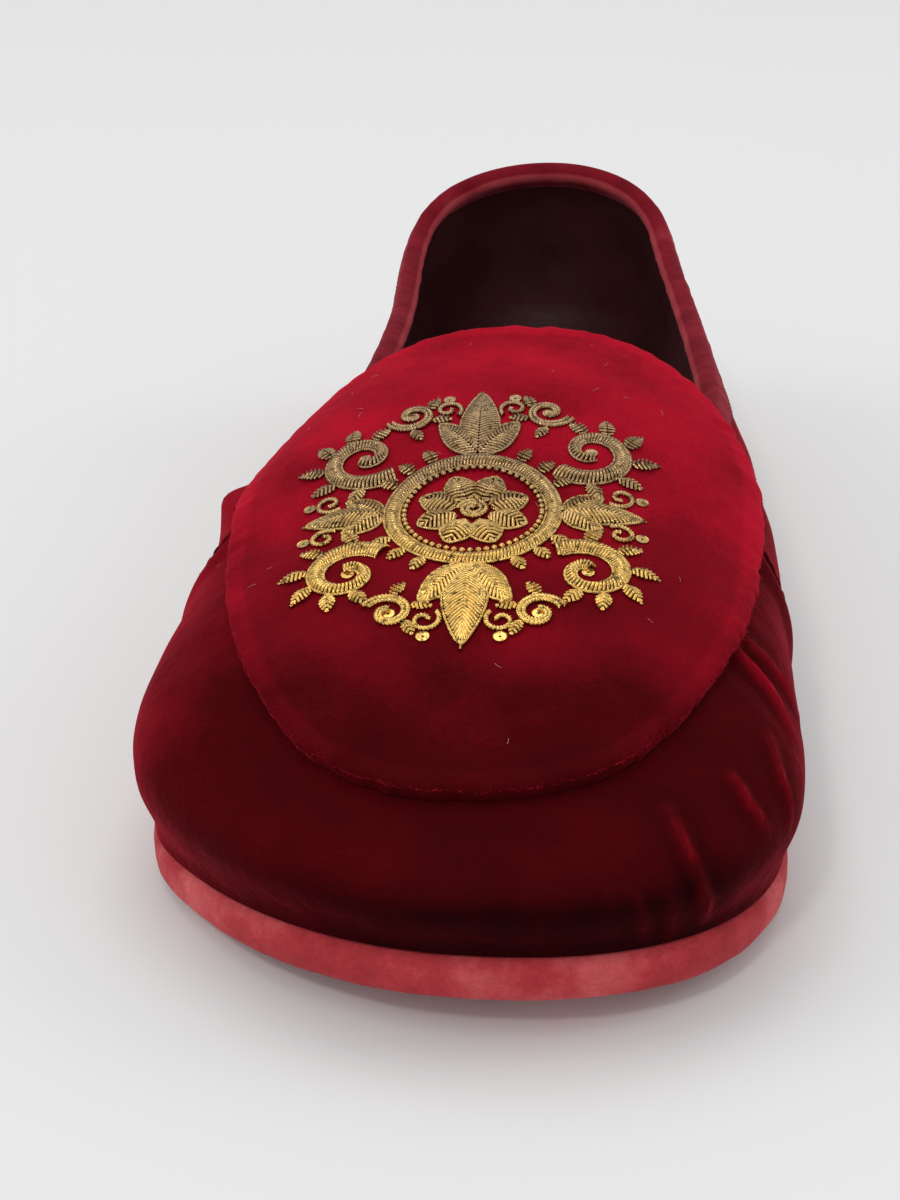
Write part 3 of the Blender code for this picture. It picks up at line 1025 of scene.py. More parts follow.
@dataclass(frozen=True)
class Velvet:
    """Cut pile: dark seen into, bright at a slant, with a fine grain and brushed patches; part of that light
    and shade is painted into the base colour.
    """

    name: str
    stops: tuple[tuple[float, Colour], ...]
    sheen: float = 0.42
    sheen_tint: Colour = (1.0, 0.045, 0.10)
    sheen_roughness: float = 0.30
    grain: float = 2600.0
    grain_depth: float = 0.00012
    patches: float = 95.0
    ripples: float = 110.0
    ripple_depth: float = 0.0009

    def build(self) -> Material:
        """Make the velvet, whose base colour reads the piece's nap_light_and_shade attribute, painted light
        and shade included.

        Returns:
            The material.
        """
        graph = Graph(self.name)
        # The base colour follows this attribute: the pile's tone plus painted shade and painted highlights.
        nap_light_and_shade = graph.add("ShaderNodeAttribute", attribute_name="nap_light_and_shade").outputs["Fac"]
        brushed = graph.span(graph.noise(self.patches, 4.0, 0.6), -0.16, 0.16)
        speckle = graph.span(graph.noise(self.grain * 0.6, 2.0, 0.7), -0.10, 0.10)
        tone_and_shade = graph.math("ADD", graph.math("ADD", nap_light_and_shade, brushed), speckle, clamp=True)
        graph.colour(graph.ramp(tone_and_shade, list(self.stops)))
        graph.roughness(graph.span(graph.noise(60.0), 0.78, 0.95))
        graph.constant(
            Sheen_Weight=self.sheen,
            Sheen_Roughness=self.sheen_roughness,
            Sheen_Tint=(*self.sheen_tint, 1.0),
            Specular_IOR_Level=0.03,
        )
        fine = graph.noise(self.grain, 2.0, 0.7)
        graph.bump([(graph.noise(self.ripples, 3.0, 0.55), self.ripple_depth), (fine, self.grain_depth)])
        return graph.material


@dataclass(frozen=True)
class Suede:
    """Short rose nap with lighter rubbed patches and darker scuffs."""

    name: str
    deep: Colour
    middle: Colour
    light: Colour

    def build(self) -> Material:
        """Make the suede.

        Returns:
            The material.
        """
        graph = Graph(self.name)
        patches = graph.noise(55.0, 5.0, 0.62)
        base = graph.ramp(patches, [(0.30, self.deep), (0.50, self.middle), (0.70, self.light)])
        fine = graph.ramp(graph.noise(1500.0, 3.0, 0.7), [(0.3, (0.72, 0.72, 0.72)), (0.7, (1.0, 1.0, 1.0))])
        graph.colour(graph.mix(0.8, base, fine, "MULTIPLY"))
        graph.roughness(graph.span(graph.noise(200.0), 0.75, 0.98))
        graph.constant(
            Sheen_Weight=0.25, Sheen_Roughness=0.5, Sheen_Tint=(1.0, 0.30, 0.32, 1.0), Specular_IOR_Level=0.08
        )
        graph.bump([(graph.noise(160.0, 4.0, 0.6), 0.0006), (graph.noise(2200.0, 3.0, 0.7), 0.0001)])
        return graph.material


@dataclass(frozen=True)
class Leather:
    """Smooth leather with a fine pebbled grain and a soft gloss."""

    name: str
    deep: Colour
    light: Colour
    gloss: float = 0.42
    grain: float = 900.0

    def build(self) -> Material:
        """Make the leather.

        Returns:
            The material.
        """
        graph = Graph(self.name)
        cells = graph.add(
            "ShaderNodeTexVoronoi", {"Vector": graph.place, "Scale": self.grain}, feature="DISTANCE_TO_EDGE"
        ).outputs[0]
        tone = graph.noise(45.0, 4.0, 0.6)
        graph.colour(graph.ramp(tone, [(0.3, self.deep), (0.75, self.light)]))
        graph.roughness(graph.span(graph.noise(120.0), self.gloss, self.gloss + 0.18))
        graph.constant(Specular_IOR_Level=0.25)
        graph.bump([(graph.noise(70.0, 3.0), 0.0007), (cells, 0.00006)])
        return graph.material


@dataclass(frozen=True)
class Bullion:
    """Coiled metal wire: yellow gold low on the design, tarnished bronze towards the tongue."""

    name: str
    gold: Colour = (0.80, 0.52, 0.15)
    bronze: Colour = (0.38, 0.255, 0.135)
    soot: Colour = (0.13, 0.075, 0.030)
    bronze_from: float = -0.090
    bronze_to: float = -0.050
    gloss: float = 0.12

    def build(self) -> Material:
        """Make the metal.

        Returns:
            The material.
        """
        graph = Graph(self.name)
        along = graph.add("ShaderNodeSeparateXYZ", {0: graph.place}).outputs[1]
        inputs = {0: along, 1: self.bronze_from, 2: self.bronze_to, 3: 0.0, 4: 1.0}
        age = graph.add("ShaderNodeMapRange", inputs, interpolation_type="SMOOTHSTEP").outputs[0]
        spotted = graph.span(graph.noise(420.0, 3.0, 0.6), -0.35, 0.35)
        share = graph.math("ADD", age, spotted, clamp=True)
        metal = graph.mix(share, self.gold, self.bronze)
        worn = graph.ramp(graph.noise(950.0, 3.0, 0.7), [(0.33, (0.0, 0.0, 0.0)), (0.50, (1.0, 1.0, 1.0))])
        graph.colour(graph.mix(worn, self.soot, metal))
        graph.roughness(graph.span(graph.noise(800.0), self.gloss, self.gloss + 0.22))
        graph.constant(Metallic=1.0)
        graph.bump([(graph.noise(5200.0, 2.0), 0.00004)])
        return graph.material


@dataclass(frozen=True)
class Thread:
    """Sewing thread or fibre."""

    name: str
    shade: Colour
    light: Colour

    def build(self) -> Material:
        """Make the thread.

        Returns:
            The material.
        """
        graph = Graph(self.name)
        graph.colour(graph.ramp(graph.noise(700.0, 2.0), [(0.3, self.shade), (0.7, self.light)]))
        graph.roughness(graph.span(graph.noise(300.0), 0.6, 0.85))
        graph.constant(Specular_IOR_Level=0.08)
        graph.bump([(graph.noise(5000.0, 2.0), 0.00004)])
        return graph.material


@dataclass(frozen=True)
class Finishes:
    """Every finish of the shoe, built once."""

    vamp: Material
    apron: Material
    tape: Material
    sole: Material
    heel: Material
    lining: Material
    footbed: Material
    gold: Material
    thread: Material
    pile: Material
    lint: Material

    @classmethod
    def build(cls) -> Finishes:
        """Build every finish.

        Returns:
            The finishes' materials.
        """
        # These stops colour nap_light_and_shade: the dark end carries painted shade, the bright end painted
        # light; the apron's copy of the same velvet has a brighter top stop, painted light.
        deep = (0.0, (0.014, 0.0003, 0.0007))
        pile_and_shade_stops = (deep, (0.40, (0.060, 0.0008, 0.0022)), (0.75, (0.190, 0.0022, 0.0080)))
        vamp = Velvet("vamp_velvet", (*pile_and_shade_stops, (1.0, (0.36, 0.006, 0.022))), sheen=0.30)
        apron = Velvet("plug_velvet", (*pile_and_shade_stops, (1.0, (0.42, 0.005, 0.020))), sheen=0.36)
        tape = Velvet(
            "collar_tape",
            ((0.0, (0.045, 0.002, 0.004)), (0.5, (0.19, 0.008, 0.017)), (1.0, (0.36, 0.055, 0.062))),
            sheen=0.35,
            sheen_tint=(1.0, 0.22, 0.26),
            grain=3600.0,
        )
        rose = Suede("rose_suede", (0.30, 0.020, 0.026), (0.47, 0.042, 0.052), (0.68, 0.130, 0.135))
        heel = Suede("heel_suede_nap", (0.20, 0.022, 0.026), (0.30, 0.042, 0.048), (0.42, 0.09, 0.09))
        lining = Leather("lining_leather", (0.040, 0.009, 0.010), (0.080, 0.020, 0.020))
        footbed = Leather("insole_leather", (0.050, 0.011, 0.014), (0.090, 0.024, 0.028), gloss=0.5)
        thread = Thread("burgundy_thread", (0.060, 0.003, 0.006), (0.16, 0.008, 0.016))
        pile = Thread("velvet_pile", (0.20, 0.002, 0.008), (0.42, 0.006, 0.022))
        lint = Thread("pale_lint", (0.30, 0.12, 0.12), (0.55, 0.36, 0.34))
        gold = Bullion("gold_bullion")
        parts = (vamp, apron, tape, rose, heel, lining, footbed, gold, thread, pile, lint)
        return cls(*(part.build() for part in parts))


@dataclass(frozen=True)
class Crease:
    """A soft ridge between two troughs, along points (x, station, z) in millimetres."""

    line: tuple[Point, ...]
    height: float
    width: float
    gain: float = 1.5
    ridge_share: float = 0.75
    trough_share: float = 2.0
    trough_depth: float = 0.45

    def lift(self, points: Array) -> Array:
        """How far the crease lifts each point.

        Args:
            points: Points (row, column, xyz).

        Returns:
            Lifts (row, column), in metres.
        """
        line = np.array(self.line) * MM
        dense = np.concatenate([np.linspace(a, b, 14) for a, b in zip(line[:-1], line[1:])])
        fade = np.sin(np.linspace(0.12, 0.88, len(dense)) * np.pi)
        best = np.zeros(points.shape[:-1])
        near = np.full(points.shape[:-1], np.inf)
        for spot, strength in zip(dense, fade):
            away = np.linalg.norm(points - spot, axis=-1)
            closer = away < near
            near = np.where(closer, away, near)
            best = np.where(closer, strength, best)
        ridge = bell(near, self.ridge_share * self.width)
        trough = self.trough_depth * bell(near, self.trough_share * self.width)
        return self.gain * self.height * best * (ridge - trough)


@dataclass(frozen=True)
class Puff:
    """Where the soft lateral quarter bulges out beside the tongue, and how far."""

    station: float = 0.1075
    length: float = 0.0085
    height: float = 0.0425
    spread: float = 0.0100
    depth: float = 0.0085
    edge_start: float = -0.0013
    edge_end: float = 0.0018

    def lift(self, grid: Array, from_edge: Array) -> Array:
        """How far the puff lifts each point.

        Args:
            grid: Points (row, column, xyz).
            from_edge: Their distances out from the apron's edge.

        Returns:
            Lifts (row, column), in metres.
        """
        puff = bell(grid[..., 1] - self.station, self.length) * bell(grid[..., 2] - self.height, self.spread)
        clear = smooth_step(from_edge, self.edge_start, self.edge_end)
        return puff * (self.depth * clear * (grid[..., 0] < 0))


@dataclass(frozen=True)
class PileToneAndShade:
    """How bright the velvet is painted, from 0 dark to 1 bright: painted shade where the wall faces the
    front, painted light where it faces up or to the lateral side, painted highlights on crease ridges,
    painted shade in crease troughs, in the seam groove and beside the apron's edge, lighter behind the side
    seams, and random patches.
    """

    plain: float = 0.50
    front: float = -0.54
    front_shade_power: float = 1.1
    top: float = 0.08
    lateral: float = 0.30
    behind_seam: float = 0.10
    crease_light_and_shade: float = 380.0
    groove_shade: float = -0.35
    apron_edge_shadow: float = -0.10
    patches: float = 0.07

    def facing(self, normal: Array) -> Array:
        """The painted light and shade that comes from the normals alone: darker facing the front, lighter
        facing up or to the lateral side.

        Args:
            normal: Outward normals (row, column, xyz).

        Returns:
            The lie (row, column).
        """
        # Painted shade on front-facing walls, painted light on upward and lateral-facing ones.
        nap_light_and_shade = self.plain + self.front * np.clip(-normal[..., 1], 0, 1) ** self.front_shade_power
        return nap_light_and_shade + self.top * np.clip(normal[..., 2], 0, 1) + self.lateral * np.clip(-normal[..., 0], 0, 1)


@dataclass
class Upper:
    """Vamp and quarters in velvet, with the side seams, the wear creases, and the pile's tone with painted
    light and shade.
    """

    shop: Workshop
    last: Last
    apron: ApronShape
    finish: Material
    toe_columns: int = 56
    side_step: float = 0.0016
    seat_columns: int = 26
    tuck_rows: int = 14
    rise_rows: int = 64
    skin: float = 0.0011
    seam_groove: float = 0.0013
    groove_width: float = 0.0008
    vamp_puff: float = 0.0013
    vamp_puff_place: float = -0.0034
    vamp_puff_width: float = 0.0024
    stitch_ridge: float = 0.0003
    stitch_place: float = 0.0022
    apron_reach: float = 0.042
    apron_pull: float = 0.0003
    unevenness: float = 0.00030
    puff: Puff = Puff()
    tone_and_shade: PileToneAndShade = PileToneAndShade()
    creases: tuple[Crease, ...] = (
        Crease(((23.6, 17.5, 29), (26.3, 11.5, 25.3), (28.6, 9, 20.6), (29.2, 11.5, 14)), 0.0013, 0.0017),
        Crease(((32.8, 26.7, 29.7), (35.3, 23.0, 27.0), (37.8, 20.9, 23.7)), 0.0010, 0.0016),
        Crease(((38.6, 36.8, 30.4), (40.7, 30.2, 26.2), (42.3, 26.4, 20.9)), 0.0009, 0.0016),
        Crease(((34.1, 55.9, 38.2), (38.7, 49.5, 34.1), (43.3, 43.0, 27.6)), 0.0014, 0.0021),
        Crease(((36.0, 58.5, 38.0), (42.0, 56.0, 33.0), (45.5, 53.0, 26.0)), 0.0010, 0.0020),
        Crease(((19.0, 3.9, 23.5), (19.8, 3.7, 20.1), (20.6, 6.3, 14.0)), 0.0006, 0.0012),
        Crease(((24.0, 5.7, 22.0), (24.2, 6.6, 18.2), (24.0, 8.8, 13.0)), 0.0006, 0.0012),
        Crease(((-47.0, 62.0, 37.0), (-53.5, 58.0, 30.0), (-57.5, 52.0, 24.0)), 0.0008, 0.0028),
        Crease(((-33.0, 128.0, 48.0), (-36.0, 124.0, 38.0), (-38.0, 121.0, 28.0)), 0.0007, 0.0026),
        Crease(((36.0, 128.0, 48.0), (40.0, 124.0, 38.0), (42.0, 121.0, 28.0)), 0.0007, 0.0026),
    )

    def columns(self) -> Columns:
        """The fine columns of the velvet."""
        return self.last.loop(self.toe_columns, self.side_step, self.seat_columns)

    def rises(self) -> Array:
        """The fine rows of the velvet."""
        tucked = np.linspace(-1, 0, self.tuck_rows, endpoint=False)
        return np.append(tucked, np.linspace(0, 1, self.rise_rows))

    def base(self) -> tuple[Array, Array]:
        """The plain wall, before its seams and creases.

        Returns:
            Its points and its outward normals, both (row, column, xyz).
        """
        grid = self.last.wall_rows(self.columns(), self.rises())
        normal = grid_normals(grid)
        widest = self.tuck_rows
        outward = (normal[widest, :, :2] * self.last.outline_normal(self.columns())).sum()
        return grid, normal * np.sign(outward)

    def seam_gap(self, grid: Array) -> Array:
        """Distance of each point behind the side seam, measured over the wall.

        Args:
            grid: The wall's points (row, column, xyz).

        Returns:
            Distances (row, column), less than 0 on the vamp.
        """
        columns = self.columns()
        behind = self.last.seam_distance(columns)
        gap = np.full(grid.shape[:2], 1.0)
        for side in Side:
            mine = np.flatnonzero((columns.side == side) | (behind == behind[0]))
            order = mine[np.argsort(behind[mine])]
            seam = np.searchsorted(behind[order], 0.0)
            share = -behind[order[seam - 1]] / (behind[order[seam]] - behind[order[seam - 1]])
            line = grid[:, order[seam - 1]] * (1 - share) + grid[:, order[seam]] * share
            away = np.linalg.norm(grid[:, mine] - line[:, None], axis=-1)
            gap[:, mine] = away * np.sign(behind[mine])
        return gap

    def shape(self) -> tuple[Array, Array, Array]:
        """Build the velvet's outside.

        Returns:
            Its points and the plain normals as grids, and the velvet's brightness at each point: the pile's
            tone with painted light and shade.
        """
        grid, normal = self.base()
        gap = self.seam_gap(grid)
        rise = self.rises()[:, None]
        free = smooth_step(rise, -1.0, -0.7)
        quarter = self.last.quarter_step * smooth_step(gap, -0.0002, 0.0008)
        seam = self.vamp_puff * bell(gap - self.vamp_puff_place, self.vamp_puff_width)
        seam += self.stitch_ridge * bell(gap - self.stitch_place, 0.0012)
        seam -= self.seam_groove * bell(gap, self.groove_width)
        from_edge = (self.apron.share_at(grid[..., 0], grid[..., 1]) - 1) * self.apron_reach
        pull = -self.apron_pull * bell(from_edge - 0.0010, 0.0030)
        crease = sum(fold.lift(grid) for fold in self.creases)
        puff = self.puff.lift(grid, from_edge)
        uneven = self.unevenness * (soft_noise(grid, 0.036, 3) + 0.4 * soft_noise(grid, 0.012, 5))
        lift = quarter + free * (seam + pull + crease + puff + uneven)
        points = grid + normal * lift[..., None]
        # Painted light and shade: highlights on crease ridges, shade in crease troughs, in the seam groove
        # and beside the apron's edge, added to the facing shade.
        tone_and_shade = self.tone_and_shade
        nap_light_and_shade = tone_and_shade.facing(normal) + tone_and_shade.behind_seam * smooth_step(gap, 0, 0.003)
        nap_light_and_shade += tone_and_shade.crease_light_and_shade * crease + tone_and_shade.groove_shade * bell(gap, 0.0010)
        nap_light_and_shade += tone_and_shade.apron_edge_shadow * bell(from_edge - 0.003, 0.004) + tone_and_shade.patches * soft_noise(grid, 0.022, 8)
        return points, normal, np.clip(nap_light_and_shade, 0, 1)

    def build(self) -> None:
        """Build the closed velvet wall."""
        outside, normal, nap_light_and_shade = self.shape()
        inside = (outside - normal * self.skin)[::-1]
        rows = np.concatenate([outside, inside])
        faces = grid_faces(*rows.shape[:2], rolled=True)
        velvet = self.shop.mesh("upper_velvet", rows, faces, self.finish, np.concatenate([nap_light_and_shade, nap_light_and_shade[::-1]]))
        self.shop.fit(velvet, Slot.UPPER, ("upper",))


@dataclass
class Lining:
    """Smooth dark leather inside the upper, and the footbed."""

    shop: Workshop
    last: Last
    upper: Upper
    leather: Material
    footbed: Material
    outer_gap: float = 0.0013
    ripple: float = 0.00012
    insole_thickness: float = 0.003
    insole_clear: float = 0.0006
    dish: float = 0.0006
    soft_edge: tuple[tuple[float, float], ...] = ((0, 0), (0, 0.0022), (0.0003, 0.0027), (0.0010, 0.0030))

    def build(self) -> None:
        """Build the lining and the footbed."""
        grid, normal = self.upper.base()
        some = np.unique(np.append(np.arange(0, grid.shape[0], 2), grid.shape[0] - 1))
        grid, normal = grid[some], normal[some]
        ripple = self.ripple * soft_noise(grid, 0.016, 12)
        face = grid - normal * (self.last.wall + ripple)[..., None]
        back = grid - normal * self.outer_gap
        rows = np.concatenate([face, back[::-1]])
        lining = self.shop.mesh("lining", rows, grid_faces(*rows.shape[:2], rolled=True), self.leather)
        self.shop.fit(lining, Slot.FOOTBED)
        self.build_footbed()

    def build_footbed(self) -> None:
        """Build the footbed: a leather slab with a soft edge, dished a little under the foot."""
        columns = self.last.loop(30, 0.004, 16)
        outer, out = self.last.plan(columns), self.last.outline_normal(columns)
        inset = self.last.tuck + self.last.wall + self.insole_clear
        base = self.last.feather(outer[:, 1]) + self.last.fit_gap
        rows = []
        for extra, height in self.soft_edge:
            edge = outer - out * (inset + extra)
            rows.append(np.column_stack([edge, base + height]))
        middle = np.column_stack([np.zeros(len(edge)), edge[:, 1]])
        for share in np.linspace(0.12, 0.92, 10):
            plan = edge * (1 - share) + middle * share
            height = self.last.feather(plan[:, 1]) + self.last.fit_gap + self.insole_thickness
            rows.append(np.column_stack([plan, height - self.dish * np.sin(share * np.pi / 2)]))
        faces = laddered_faces(len(rows), len(columns))
        footbed = self.shop.mesh("footbed", np.array(rows), faces, self.footbed)
        self.shop.fit(footbed, Slot.FOOTBED, ("insole",))


@dataclass
class Apron:
    """The velvet apron with its soft raised edge, its backing under the free tongue, and its pile."""

    shop: Workshop
    shape: ApronShape
    velvet: Material
    leather: Material
    pile: Material
    spokes: int = 560
    rings: int = 46
    rim_width: float = 0.0042
    stray_width: float = 0.0045
    under_width: float = 0.0008
    backing: float = 0.0007
    ragged: float = 0.00022
    contact: float = 0.00005
    lining_rim: float = 0.0011
    lining_thickness: float = 0.00062
    plain_nap: float = 0.60
    # Painted light and shade on the apron's velvet: painted highlight towards the tongue and on the raised
    # rim, painted shade towards the toe and underneath.
    tongue_highlight: float = 0.30
    toe_shade: float = -0.34
    edge_highlight: float = 0.08
    under_shade: float = -0.30
    edge_profile: tuple[tuple[float, float], ...] = (
        (0.0042, 0.00002),
        (0.0030, 0.00010),
        (0.0022, 0.00022),
        (0.0015, 0.00030),
        (0.0010, 0.00026),
        (0.0005, 0.00008),
        (0.0002, -0.00025),
        (0.00005, -0.0006),
        (0.0, -0.0010),
    )

    def even_spokes(self) -> Array:
        """Space the edge's points evenly.

        Returns:
            Their angles round the apron.
        """
        angle = np.linspace(0, 2 * np.pi, 6001)
        edge = self.shape.plan(angle, 1.0)
        length = np.append(0, np.cumsum(np.linalg.norm(np.diff(edge, axis=0), axis=1)))
        return np.interp(np.linspace(0, length[-1], self.spokes, endpoint=False), length, angle)

    def ring(self, spoke: Array, inset: Reals, height: Reals) -> Array:
        """Points round the apron.

        Args:
            spoke: Their angles.
            inset: Distance in from the edge.
            height: Height over the underside.

        Returns:
            Points (spoke, xyz).
        """
        edge = self.shape.plan(spoke, 1.0)
        middle = np.array([self.shape.offset, self.shape.centre])
        radius = np.linalg.norm(edge - middle, axis=1)
        plan = edge + (middle - edge) * (np.asarray(inset) / radius)[:, None]
        return self.shape.over(plan, np.asarray(height) - self.shape.thickness)

    def build(self) -> None:
        """Build the apron and what goes with it."""
        spoke = self.even_spokes()
        edge = self.shape.plan(spoke, 1.0)
        place = np.column_stack([edge, np.zeros(len(edge))])
        ragged = self.ragged * (soft_noise(place, 0.0022, 21) + soft_noise(place, 0.007, 22))
        thick = self.shape.thickness
        touch = self.shape.seat - self.contact
        gap = self.shape.under_gap(edge[:, 1])
        foot = np.where(gap < self.shape.seat + 0.0001, -touch, 0.0)
        foot = np.minimum(foot, -touch * (1 - smooth_step(gap, self.shape.seat, self.shape.seat + 0.0006)))
        uneven = 0.00016 * soft_noise(self.ring(spoke, 0.001, thick), 0.004, 23)
        rows = []
        for inset, above in self.edge_profile:
            stray = ragged * (1 - inset / self.stray_width)
            rows.append(self.ring(spoke, inset - stray, thick + above + uneven))
        rows.append(self.ring(spoke, 0.00008 - ragged, foot))
        rows.append(self.ring(spoke, 0.0005 - ragged, foot))
        rows.append(self.ring(spoke, self.under_width, self.backing))
        middle = np.array([self.shape.offset, self.shape.centre])
        radius = np.linalg.norm(edge - middle, axis=1)
        inner = []
        for share in np.linspace(0.03, 0.99, self.rings):
            inset = self.rim_width + (radius - self.rim_width) * share
            ripple = 0.00018 * soft_noise(self.ring(spoke, inset, thick), 0.024, 24)
            inner.append(self.ring(spoke, inset, thick + ripple))
        for share in (0.3, 0.6, 0.9):
            inset = self.under_width + (radius - self.under_width) * share
            rows.append(self.ring(spoke, inset, self.backing))
        grid = np.array(inner[::-1] + rows)
        station = grid[..., 1]
        # Painted highlight towards the tongue and on the raised rim, painted shade towards the toe and on the
        # underside; the soft noise is the pile's own tone.
        nap_light_and_shade = self.plain_nap + self.tongue_highlight * smooth_step(station, 0.040, 0.105)
        nap_light_and_shade += self.toe_shade * (1 - smooth_step(station, 0.016, 0.050)) + 0.07 * soft_noise(grid, 0.020, 25)
        nap_light_and_shade[self.rings + 1 : self.rings + 9] += self.edge_highlight
        nap_light_and_shade[self.rings + 10 :] += self.under_shade
        faces, nap_light_and_shade = capped_faces(*grid.shape[:2]), np.clip(nap_light_and_shade, 0, 1)
        velvet = self.shop.mesh("plug_velvet_top", grid, faces, self.velvet, nap_light_and_shade, sharp_angle=70)
        self.shop.fit(velvet, Slot.APRON, ("apron_tongue",))
        self.build_backing(spoke, radius)
        self.build_pile(spoke, ragged)

    def build_backing(self, spoke: Array, radius: Array) -> None:
        """Build the leather backing that shows under the free tongue.

        Args:
            spoke: Angles round the apron.
            radius: Distance from the middle to the edge at each.
        """
        rim, top = self.lining_rim, self.lining_thickness
        insets = [((radius - rim) * share + rim, top) for share in (0.98, 0.6, 0.3)]
        insets += [(rim, top), (0.0009, 0.0004), (0.0009, 0.0001), (0.0012, 0.00002)]
        insets += [((radius - 0.0012) * share + 0.0012, 0.00002) for share in (0.3, 0.6, 0.98)]
        grid = np.array([self.ring(spoke, inset, height) for inset, height in insets])[:, ::2]
        backing = self.shop.mesh("tongue_backing", grid, capped_faces(*grid.shape[:2]), self.leather)
        self.shop.fit(backing, Slot.FOOTBED)

    def build_pile(self, spoke: Array, ragged: Array) -> None:
        """Set the cut edge's loose pile all round the apron.

        Args:
            spoke: Angles round the apron.
            ragged: How far the edge strays at each.
        """
        tree = PileTree(self.pile, "edge_pile", 7)
        path = self.ring(spoke, 0.0003 - ragged, self.shape.thickness - 0.0002)
        sizes = {"Spacing": 0.00020, "Fibre length": 0.00065, "Fibre radius": 0.00006}
        self.shop.grow_along("edge_pile", [path], tree, sizes, Slot.APRON, closed=True)


@dataclass
class Binding:
    """The tape folded over the collar, with its stitched lower edge."""

    shop: Workshop
    last: Last
    apron: ApronShape
    finish: Material
    thread: Material
    thickness: float = 0.001
    samples: int = 40
    drops_mm: tuple[float, ...] = (5.0, 4.85, 4.4, 3.9, 3.2, 2.4, 1.6, 0.8, 0.0)
    stands_mm: tuple[float, ...] = (0.10, 0.55, 0.72, 0.86, 1.02, 1.12, 1.16, 1.18, 1.18)
    wall_gap: float = 0.0001
    arc_points: int = 9
    stitched_drop: int = 2
    plain_nap: float = 0.42
    lip_nap: float = 0.82

    def start(self, side: Side) -> float:
        """Find where the collar comes out from under the tongue.

        Args:
            side: Which side.

        Returns:
            The station.
        """
        near, far = self.apron.centre, self.last.length / 2 + self.apron.back
        while far - near > self.last.fit_gap / 3:
            middle = (near + far) / 2
            spot = Columns(np.array([int(side)]), np.array([int(Region.SIDE)]), np.array([middle]))
            if self.apron.outside(self.last.opening(spot))[0]:
                far = middle
            else:
                near = middle
        return far

    def columns(self) -> Columns:
        """Columns of the tape.

        Returns:
            Places from one end, round the heel, to the other.
        """
        loop = self.last.loop(6, 0.0018, 26)
        station = self.last.plan(loop)[:, 1]
        starts = {side: self.start(side) for side in Side}
        limit = np.where(loop.side < 0, starts[Side.LATERAL], starts[Side.MEDIAL]) + 0.0008
        return loop.chosen(station > limit).ended(starts[Side.LATERAL], starts[Side.MEDIAL])

    def levels(self, columns: Columns, drops: Array) -> tuple[Array, Array, Array]:
        """Points on the wall at distances below the collar's edge.

        Args:
            columns: Where round the collar.
            drops: Distances below the edge, in metres.

        Returns:
            Points (drop, column, xyz), outward normals there, and the upward direction (column, xyz).
        """
        line = self.last.wall_rows(columns, np.linspace(0.45, 1, self.samples))
        line = line + self.last.quarter_step * self.last.normal(line[..., 0], line[..., 1])
        length = np.linalg.norm(np.diff(line, axis=0), axis=-1)
        to_edge = np.cumsum(length[::-1], axis=0)[::-1]
        above = -np.concatenate([to_edge, np.zeros((1, len(columns)))])
        points = np.empty((len(drops), len(columns), 3))
        for i in range(len(columns)):
            for axis in range(3):
                points[:, i, axis] = np.interp(-drops, above[:, i], line[:, i, axis])
        upward = line[-1] - line[-4]
        upward /= np.linalg.norm(upward, axis=-1, keepdims=True)
        return points, self.last.normal(points[..., 0], points[..., 1]), upward

    def build(self) -> None:
        """Build the tape and its stitches."""
        columns = self.columns()
        drops, stand = np.array(self.drops_mm) * MM, np.array(self.stands_mm) * MM
        points, normals, upward = self.levels(columns, drops)
        pucker = 0.00010 * soft_noise(points, 0.007, 31) + 0.00008 * soft_noise(points, 0.0028, 32)
        inner = -(self.last.wall + self.wall_gap)
        outer_face = points + normals * (stand[:, None] + pucker)[..., None]
        middle = (inner + self.wall_gap) / 2
        half = stand[-1] - middle
        arc = []
        for angle in np.radians(np.linspace(18, 162, self.arc_points)):
            across = middle + half * np.cos(angle)
            rise = (0.0003 + self.thickness) * np.sin(angle)
            arc.append(points[-1] + normals[-1] * across + upward * rise)
        behind = inner - (stand[:, None] + pucker)
        inner_face = points[::-1] + (normals * behind[..., None])[::-1]
        inner_wall = points[:: len(drops) - 1] + normals[:: len(drops) - 1] * inner
        outer_wall = points[:: -(len(drops) - 1)] + normals[:: -(len(drops) - 1)] * 0.00005
        grid = np.concatenate([outer_face, np.array(arc), inner_face, inner_wall, outer_wall])
        grid = np.swapaxes(grid, 0, 1)
        nap_light_and_shade = np.full(grid.shape[:2], self.plain_nap)
        lip = len(drops) + 6
        nap_light_and_shade[:, lip : lip + 5] = self.lip_nap
        nap_light_and_shade += 0.12 * soft_noise(grid, 0.010, 33)
        faces = capped_faces(*grid.shape[:2])
        tape = self.shop.mesh("collar_tape", grid, faces, self.finish, np.clip(nap_light_and_shade, 0, 1))
        self.shop.fit(tape, Slot.BINDING, ("collar_binding",))
        tree = StitchTree(self.thread, "collar_stitch")
        row = self.stitched_drop
        seam = points[row] + normals[row] * (stand[row] + 0.00002)
        inside = points[row] + normals[row] * (inner - stand[row] - 0.00002)
        sizes = {"Spacing": 0.0026, "Length share": 0.72, "Thread radius": 0.00017}
        rows = [seam[2:-2], inside[2:-2]]
        self.shop.grow_along("collar_stitches", rows, tree, sizes, Slot.BINDING)


